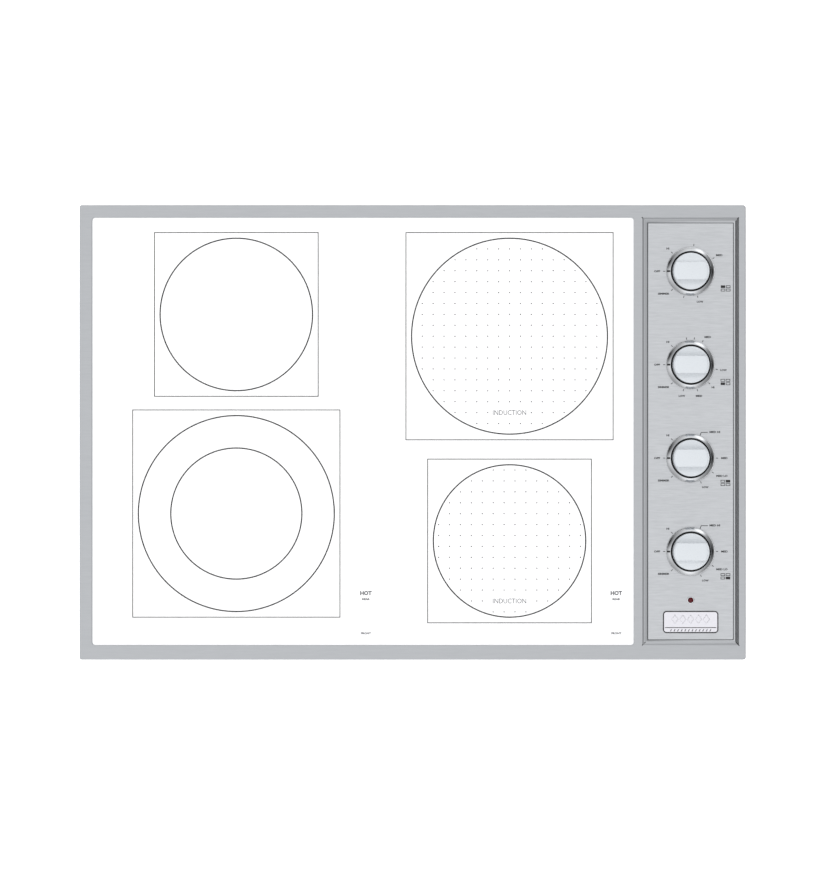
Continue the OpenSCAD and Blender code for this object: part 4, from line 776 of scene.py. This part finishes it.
@dataclass
class Dial(SubAssembly):
    """The printed scale round one knob, and the icon that says which zone it works."""

    place: str = ""
    centre: Vector = field(default_factory=Vector)
    marks: tuple[Mark, ...] = ()
    bare_ticks: tuple[float, ...] = ()
    icon_mm: tuple[float, float] = (40.8, -29.1)
    cap_mm: float = 2.4
    tick_reach_mm: tuple[float, float] = (29.7, 32.2)
    tick_width_mm: float = 0.8
    # the leader of a word without a tick: middle, length and angle of each of its two strokes
    leader: tuple[tuple[float, float, float, float], ...] = ((11.3, 27.2, 6.0, 71.0), (16.2, 30.2, 8.0, 0.0))
    cell_mm: tuple[float, float] = (5.2, 3.1)
    cell_gap_mm: float = 0.9
    cell_line_mm: float = 0.7

    def _at(self, angle: float, reach_mm: float) -> Vector:
        """Gives the point at an angle in degrees and a distance from the knob's middle."""
        a = math.radians(angle)
        return self.centre + Vector((math.cos(a), math.sin(a), 0)) * reach_mm * MM

    def build(self) -> None:
        """Prints ticks, words, a leader for the one word without a tick, and the icon."""
        ink = Print(self.centre.z)
        bm = bmesh.new()
        near, far = self.tick_reach_mm
        ticks = [m.tick for m in self.marks if m.tick is not None] + list(self.bare_ticks)
        stroke = self.tick_width_mm * MM
        for angle in ticks:
            ink.dash(bm, self._at(angle, (near + far) / 2), (far - near) * MM, stroke, angle)
        for mark in self.marks:
            ink.words(bm, mark.word, self._at(mark.angle, mark.reach_mm), self.cap_mm * MM, mark.width_mm * MM)
            if mark.tick is None:
                for x, y, length, angle in self.leader:
                    ink.dash(bm, self.centre + Vector((x, y, 0)) * MM, length * MM, stroke, angle)
        self._icon(ink, bm)
        self.make(bm, f"dial_{self.place}", BLACK_PAD_INK, smooth=20)

    def _icon(self, ink: Print, bm: bmesh.types.BMesh) -> None:
        """Prints four cells, with this knob's own one filled."""
        (width, height), gap, line = (Vector(self.cell_mm) * MM, self.cell_gap_mm * MM, self.cell_line_mm * MM)
        middle = self.centre + Vector((*self.icon_mm, 0)) * MM
        for side, x in (("left", -1), ("right", 1)):
            for end, y in (("front", -1), ("rear", 1)):
                spot = middle + Vector((x * (width + gap), y * (height + gap), 0)) / 2
                if f"{side}_{end}" == self.place:
                    ink.dash(bm, spot, width, height, 0)
                else:
                    cell = (spot.x - width / 2, spot.y - height / 2, spot.x + width / 2, spot.y + height / 2)
                    ink.outline(bm, grow(cell, -line / 2), line)


@dataclass
class ControlPanel(SubAssembly):
    """The brushed panel plate and the four scales on it."""

    def build(self) -> None:
        """Builds the plate from its CAD copy, and prints the dials."""
        self.round_off("control_panel", 0.25, "panel_plate", BRUSHED_STAINLESS)
        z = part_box("nameplate")[0].z
        scales = {
            "left_rear": ((OFF, HIGH, SIMMER, Mark("MED", 29.4, 38.5, 7.6, 30), Mark("LOW", -72.8, 37.3, 7.6, -74.5)),
                          (83, -105), (41.0, -20.0)),
            "left_front": ((OFF, HIGH, SIMMER, Mark("MED", 58.2, 38.1, 7.6, 62.7), Mark("LOW", -9.3, 39.1, 7.6, -10),
                            Mark("HI", -45.3, 37.3, 3.3, -45), Mark("MED", -74.8, 37.9, 7.6, -75),
                            Mark("LOW", -105.6, 38.0, 7.6, -105.7)), (99, 82), (40.8, -20.3)),
            "right_rear": (INDUCTION_MARKS, (), (40.8, -29.1)),
            "right_front": (INDUCTION_MARKS, (), (40.8, -29.1)),
        }
        for place, (marks, bare, icon) in scales.items():
            low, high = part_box(f"knob_{place}")
            centre = (low + high) / 2
            Dial(place=place, centre=Vector((centre.x, centre.y, z)), marks=marks, bare_ticks=bare,
                 icon_mm=icon).build()


@dataclass
class Knob(SubAssembly):
    """One control: a white cap with a grip bar between two scoops, on a chrome skirt with an index mark."""

    place: str = ""
    grip_mm: float = 20.0
    scoop_mm: float = 14.0
    face_edge_mm: float = 3.8
    bar_edge_mm: float = 0.8
    index_mm: tuple[float, float] = (4.6, 2.1)
    # across the skirt, from its outer foot over the crest into the well: distance in and height
    skirt_mm: tuple[tuple[float, float], ...] = (
        (0.15, 0.0), (0.0, 0.2), (0.0, 1.0), (0.35, 1.45), (2.2, 2.9), (3.95, 4.22), (4.35, 4.4), (4.65, 4.28),
        (4.7, 2.6), (4.6, 1.6), (1.0, 0.0))
    # round the well inside it, in the same way; this well is painted black, as painted shade between cap and skirt
    well_shade_mm: tuple[tuple[float, float], ...] = (
        (4.72, 3.9), (4.72, 1.9), (12.7, 1.9), (12.7, 2.2), (5.1, 2.2), (5.1, 3.9))
    well_floor_mm: float = 2.2
    axis: Vector = field(init=False)
    top: float = field(init=False)
    skirt_low: Vector = field(init=False)
    skirt_high: Vector = field(init=False)

    def build(self) -> None:
        """Builds the cap, the skirt, the black painted shade in its well and its index mark, and dresses the shaft.
        """
        self.body = f"control_{self.place}"
        low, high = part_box(f"knob_{self.place}")
        self.axis = Vector(((low.x + high.x) / 2, (low.y + high.y) / 2, 0))
        self.top = high.z
        self.skirt_low, self.skirt_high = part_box(f"knob_skirt_{self.place}")
        self._cap(high.x - self.axis.x)
        self._skirt()
        for finish, node in ((ZINC_PLATE, "shaft"), (ACETAL, "switch_rotor"), (SPRING_STEEL, "return_spring")):
            self.dress(finish, f"{node}_{self.place}")

    def _cap(self, base_r: float) -> None:
        """Turns the cap, cuts the two scoops, and rounds the edges that the cuts leave."""
        floor = self.skirt_low.z + self.well_floor_mm * MM
        face_r, edge = base_r - 0.6 * MM, self.face_edge_mm * MM
        cap = bmesh.new()
        rim = fillet(face_r, self.top, edge, 8)
        lathe(cap, [(0, floor), (base_r, floor), *rim, (0, self.top)], self.axis, 144)
        bmesh.ops.recalc_face_normals(cap, faces=cap.faces)
        body = self._scratch(cap)
        scoops = bmesh.new()
        radius, length = self.scoop_mm * MM, base_r * 4
        for side in (-1, 1):
            middle = self.axis + Vector((0, side * (self.grip_mm / 2 + self.scoop_mm) * MM, self.top))
            bmesh.ops.create_cone(scoops, cap_ends=True, segments=128, radius1=radius, radius2=radius, depth=length,
                                  matrix=Matrix.Translation(middle) @ Matrix.Rotation(math.pi / 2, 4, "Y"))
        cutter = self._scratch(scoops)
        cut = body.modifiers.new("scoops", "BOOLEAN")
        cut.operation, cut.object, cut.solver = "DIFFERENCE", cutter, "EXACT"
        result = body.evaluated_get(bpy.context.evaluated_depsgraph_get()).to_mesh()
        bm = bmesh.new()
        bm.from_mesh(result)
        for scratch in (body, cutter):
            bpy.data.objects.remove(scratch)
        bmesh.ops.remove_doubles(bm, verts=bm.verts, dist=1e-6)
        bmesh.ops.dissolve_degenerate(bm, edges=bm.edges, dist=2e-6)
        sharp = [e for e in bm.edges if len(e.link_faces) == 2 and e.calc_face_angle(0.0) > math.radians(24)
                 and min(v.co.z for v in e.verts) > floor + 1 * MM]
        bmesh.ops.bevel(bm, geom=sharp, offset=self.bar_edge_mm * MM, segments=3, profile=0.5, affect="EDGES",
                        material=-1, clamp_overlap=True)
        self.make(bm, f"cap_{self.place}", WHITE_THERMOSET, (f"knob_{self.place}",), smooth=40)

    @staticmethod
    def _scratch(bm: bmesh.types.BMesh) -> bpy.types.Object:
        """Turns a mesh into an object that only a modifier uses."""
        mesh = bpy.data.meshes.new("scratch")
        bm.to_mesh(mesh)
        bm.free()
        holder = bpy.data.objects.new("scratch", mesh)
        bpy.context.scene.collection.objects.link(holder)
        bpy.context.view_layer.update()
        return holder

    def _skirt(self) -> None:
        """Turns the drawn chrome skirt and the black painted shade in its well, and prints the index mark on its
        cone.
        """
        r_out, base = self.skirt_high.x - self.axis.x, self.skirt_low.z
        for name, profile, finish, smooth, steps, replaced in (
                ("skirt", self.skirt_mm, CHROME_PLATE, 25, 144, (f"knob_skirt_{self.place}",)),
                # the well between cap and skirt is painted black as shade
                ("skirt_well_shade", self.well_shade_mm, BLACK_SHADOW_PAINT, 30, 96, ())):
            bm = bmesh.new()
            lathe(bm, [(r_out - inset * MM, base + up * MM) for inset, up in profile], self.axis, steps, closed=True)
            self.make(bm, f"{name}_{self.place}", finish, replaced, smooth=smooth)
        mark = bmesh.new()
        half = Vector((*self.index_mm, 0.5)) * MM / 2
        bar(mark, -half, half)
        bmesh.ops.subdivide_edges(mark, edges=mark.edges, cuts=3, use_grid_fill=True)
        # the cone, from the top of its straight foot to the crest
        run, foot, rise = 4.7, 1.0, 4.4
        middle = self.axis + Vector((-r_out + (run / 2 - 0.1) * MM, 0, base + ((foot + rise) / 2 + 0.02) * MM))
        tilt = Matrix.Rotation(-math.atan2(rise - foot, run), 4, "Y")
        bmesh.ops.transform(mark, matrix=Matrix.Translation(middle) @ tilt, verts=mark.verts)
        self.make(mark, f"index_{self.place}", BLACK_PAD_INK)


@dataclass
class Badge(SubAssembly):
    """The nameplate, with a plain ornament in place of any name."""

    corner_mm: float = 4.5
    line_mm: float = 1.3
    line_inset_mm: float = 0.75
    divider_mm: float = 0.8
    divider_end_mm: float = 2.5
    divider_share: float = 0.25
    relief_mm: float = 0.45
    # the plate's edge: distance in, and drop from the face
    edge_mm: tuple[tuple[float, float], ...] = ((0.0, 0.4), (0.12, 0.12), (0.4, 0.0), (0.7, 0.0))
    # lozenges: count, pitch, half height at the foot and at the top, and height of the relief
    lozenges: tuple[int, float, float, float, float] = (5, 9.2, 5.6, 4.6, 0.44)
    lozenge_width: float = 0.72
    # a dot near the tip of each lozenge: its drop from the top of the badge, and its radius
    dot_drop_mm: float = 5.2
    dot_mm: float = 0.65
    # dashes: count, pitch, length, width and angle
    dashes: tuple[int, float, float, float, float] = (12, 4.2, 2.8, 0.9, 60.0)

    def build(self) -> None:
        """Builds the plate, its dark outline, its dividing line and the ornament."""
        low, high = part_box("nameplate")
        rect = (low.x, low.y, high.x, high.y)
        face = high.z - self.relief_mm * MM
        foot = Outline(rect, self.corner_mm * MM, low.z)
        edge = [foot.grown(-inset * MM, face - low.z - drop * MM) for inset, drop in self.edge_mm]
        self.make(plate([foot, *edge], 8), "badge_plate", SILVERED_ZINC, ("nameplate",), smooth=50, flats=True)
        ink, inset = Print(face, thickness=0.1 * MM), self.line_inset_mm * MM
        lines = bmesh.new()
        ink.outline(lines, grow(rect, -inset), self.line_mm * MM, foot.radius - inset)
        divider = low.y + (high.y - low.y) * self.divider_share
        middle = (low.x + high.x) / 2
        ink.dash(lines, Vector((middle, divider, 0)), high.x - low.x - 2 * self.divider_end_mm * MM,
                 self.divider_mm * MM, 0)
        self.make(lines, "badge_lines", BLACK_PAD_INK)
        self._lozenges(Vector((middle, (divider + high.y) / 2, face)))
        self._prints(Vector((middle, high.y - self.dot_drop_mm * MM, face)),
                     Vector((middle, (divider + low.y) / 2 + 0.1 * MM, face)))

    @staticmethod
    def _row(middle: Vector, count: int, pitch_mm: float) -> list[Vector]:
        """Gives evenly spaced points on a line across the badge."""
        return [middle + Vector(((k - (count - 1) / 2) * pitch_mm * MM, 0, 0)) for k in range(count)]

    def _lozenges(self, middle: Vector) -> None:
        """Raises a row of lozenges above the line."""
        count, pitch, foot, top, height = self.lozenges
        bm = bmesh.new()
        for spot in self._row(middle + Vector((0, 0, height / 2 * MM)), count, pitch):
            narrow = Matrix.Diagonal((self.lozenge_width, 1, 1, 1))
            bmesh.ops.create_cone(bm, cap_ends=True, segments=4, radius1=foot * MM, radius2=top * MM,
                                  depth=height * MM, matrix=Matrix.Translation(spot) @ narrow)
        self.make(bm, "badge_lozenges", SILVERED_ZINC, smooth=20)

    def _prints(self, over: Vector, under: Vector) -> None:
        """Prints a row of dots at the lozenges, and a row of slanted dashes below the line."""
        count, pitch, length, width, angle = self.dashes
        ink = Print(over.z, thickness=0.12 * MM)
        bm = bmesh.new()
        ink.dots(bm, self._row(over, *self.lozenges[:2]), self.dot_mm * MM)
        for spot in self._row(under, count, pitch):
            ink.dash(bm, spot, length * MM, width * MM, angle)
        self.make(bm, "badge_studs", BLACK_PAD_INK)


@dataclass
class IndicatorLamp(SubAssembly):
    """The red lens of the power-on lamp in its bright bezel."""

    bezel_mm: float = 4.35
    rise_mm: float = 1.1

    def build(self) -> None:
        """Builds the bezel and dresses the lens."""
        low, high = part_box("indicator_lens")
        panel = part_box("nameplate")[0].z
        centre = Vector(((low.x + high.x) / 2, (low.y + high.y) / 2, panel))
        inner, outer, rise = (high.x - low.x) / 2 + 0.02 * MM, self.bezel_mm * MM, self.rise_mm * MM
        round_edge, chamfer_in, chamfer_down = 0.6 * MM, 0.35 * MM, 0.4 * MM
        bm = bmesh.new()
        lathe(bm, [(inner, 0), (outer, 0), *fillet(outer, rise, round_edge), (inner + chamfer_in, rise),
                   (inner, rise - chamfer_down)], centre, 64, closed=True)
        self.make(bm, "lamp_bezel", CHROME_PLATE, smooth=40)
        self.make(copy_node("indicator_lens"), "lamp_lens", RED_ACRYLIC, ("indicator_lens",), smooth=60)
        self.dress(BLACK_NYLON, "lamp_holders")


# ---------------------------------------------------------------- box and what is inside it


@dataclass
class Case(SubAssembly):
    """The galvanised box, its bottom cover, fasteners, clamps and supply inlet."""

    def build(self) -> None:
        """Builds the rounded sheet parts, and dresses the small ones."""
        self.round_off("chassis", 0.35, "case_sheet", GALVANISED_SHEET)
        self.round_off("bottom_cover", 0.25, "cover_sheet", GALVANISED_SHEET)
        self.round_off("clamp_brackets", 0.5, "clamp_angles", ZINC_PLATE)
        self.dress(ZINC_PLATE, "case_screws", "clamp_screw_left", "clamp_screw_right")
        self.dress(NICKEL_PLATE, "supply_gland")


DRESSED = {
    GALVANISED_SHEET: ("control_bracket", "element_pan_rear", "element_pan_front", "element_rails"),
    BRASS: ("panel_nuts",), MICA: ("mica_discs",), FERRITE: ("ferrite_bars",), SPRING_STEEL: ("support_springs",),
    STEATITE: ("terminal_block", "temperature_sensors"), MILL_ALUMINIUM: ("coil_tray", "heat_sink"),
    COPPER_LITZ: ("coil_winding_rear", "coil_winding_front"), INSULATION: ("insulation_dishes",),
    BLACK_NYLON: ("coil_formers", "blower_housing", "blower_impeller"), RESISTANCE_RIBBON: ("heating_ribbons",),
    SOLDER_MASK: ("generator_board",), LEAD_INSULATION: ("wiring",),
    PHENOLIC: ("energy_regulator_left_rear", "energy_regulator_left_front", "power_encoder_right_rear",
               "power_encoder_right_front"),
}


@dataclass
class Insides(SubAssembly):
    """The coils, elements, electronics and leads under the glass."""

    def build(self) -> None:
        """Dresses every inner CAD piece."""
        for finish, nodes in DRESSED.items():
            self.dress(finish, *nodes)


# ---------------------------------------------------------------- studio


@dataclass(frozen=True)
class Lobe:
    """A soft patch of light in the surroundings: where it is, how wide, and how bright."""

    azimuth: float
    elevation: float
    sharpness: float
    radiance: float


@dataclass
class Studio:
    """A pale floor, soft light all round and a camera straight above."""

    lens_mm: float = 250.0
    height_m: float = 7.08
    aim_mm: tuple[float, float] = (-3.1, -3.05)
    worktop: float = 0.085
    base: float = 0.42
    lobes: tuple[Lobe, ...] = (
        Lobe(-90, 80, 4.0, 1.25),
        Lobe(180, 30, 3.0, 0.35),
        Lobe(-100, 30, 3.0, 0.15),
        Lobe(90, 30, 3.0, 0.25),
        Lobe(180, 22, 12.0, 0.5),
        Lobe(180, 56, 40.0, 0.9),
        Lobe(90, 24, 12.0, 0.6),
        Lobe(90, 56, 40.0, 0.9),
        Lobe(-90, 18, 12.0, 0.7),
        Lobe(-90, 34, 14.0, 0.4),
        Lobe(0, 30, 3.0, -0.10),
        Lobe(0, 24, 20.0, -0.35),
        Lobe(62, 14, 40.0, 1.8),
        Lobe(158, 10, 14.0, -0.75),
    )

    def build(self) -> None:
        """Sets up the camera, the floor and the light."""
        scene = bpy.context.scene
        scene.view_settings.view_transform = "Standard"
        self._camera(scene)
        self._floor()
        self._surroundings(scene)

    def _camera(self, scene: bpy.types.Scene) -> None:
        """Hangs the camera straight above, with the rear of the appliance at the top of the view."""
        camera = bpy.data.cameras.new("overhead")
        camera.lens, camera.sensor_width, camera.sensor_fit = self.lens_mm, 36.0, "AUTO"
        camera.clip_end = 50.0
        holder = bpy.data.objects.new("overhead", camera)
        holder.location = (self.aim_mm[0] * MM, self.aim_mm[1] * MM, self.worktop + self.height_m)
        scene.collection.objects.link(holder)
        scene.camera = holder

    def _floor(self) -> None:
        """Lays a matt white floor under the box."""
        bm = bmesh.new()
        bmesh.ops.create_grid(bm, x_segments=1, y_segments=1, size=20.0)
        mesh = bpy.data.meshes.new("floor")
        bm.to_mesh(mesh)
        bm.free()
        material = bpy.data.materials.new("floor_white")
        material.use_nodes = True
        shader = material.node_tree.nodes["Principled BSDF"]
        shader.inputs["Base Color"].default_value = (0.9, 0.9, 0.9, 1)
        shader.inputs["Roughness"].default_value = 0.9
        shader.inputs["Specular IOR Level"].default_value = 0.1
        shader.inputs["Emission Color"].default_value = (1, 1, 1, 1)
        shader.inputs["Emission Strength"].default_value = 0.8
        mesh.materials.append(material)
        floor = bpy.data.objects.new("floor", mesh)
        bpy.context.scene.collection.objects.link(floor)

    def _surroundings(self, scene: bpy.types.Scene) -> None:
        """Paints the surroundings as an even base with soft lobes of light and shade."""
        world = bpy.data.worlds.new("studio")
        scene.world = world
        world.use_nodes = True
        tree = world.node_tree
        tree.nodes.clear()
        way = add_node(tree, "ShaderNodeTexCoord").outputs["Generated"]
        total = None
        for lobe in self.lobes:
            a, e = math.radians(lobe.azimuth), math.radians(lobe.elevation)
            aim = (math.cos(a) * math.cos(e), math.sin(a) * math.cos(e), math.sin(e))
            facing = add_node(tree, "ShaderNodeVectorMath", {0: way, 1: aim}, operation="DOT_PRODUCT")
            lit = add_node(tree, "ShaderNodeMath", {0: facing.outputs["Value"], 1: 0.0}, operation="MAXIMUM")
            fall = add_node(tree, "ShaderNodeMath", {0: lit.outputs[0], 1: lobe.sharpness}, operation="POWER")
            total = add_node(tree, "ShaderNodeMath", {
                0: fall.outputs[0], 1: lobe.radiance, 2: total.outputs[0] if total else self.base},
                operation="MULTIPLY_ADD")
        floor = add_node(tree, "ShaderNodeMath", {0: total.outputs[0], 1: 0.02}, operation="MAXIMUM")
        shade = add_node(tree, "ShaderNodeBackground", {"Color": (1, 1, 1, 1), "Strength": floor.outputs[0]})
        add_node(tree, "ShaderNodeOutputWorld", {"Surface": shade.outputs[0]})


def main() -> None:
    """Builds every sub-assembly in order."""
    logging.basicConfig(level=logging.INFO, format="%(name)s %(message)s")
    builders: list[Callable[[], None]] = [
        Studio().build, TrimFrame().build, GlassTop().build, ControlPanel().build,
        *(Knob(place=place).build for place in POSITIONS), Badge().build, IndicatorLamp().build, Case().build,
        Insides().build,
    ]
    for build in builders:
        build()


if __name__ == "__main__":
    main()
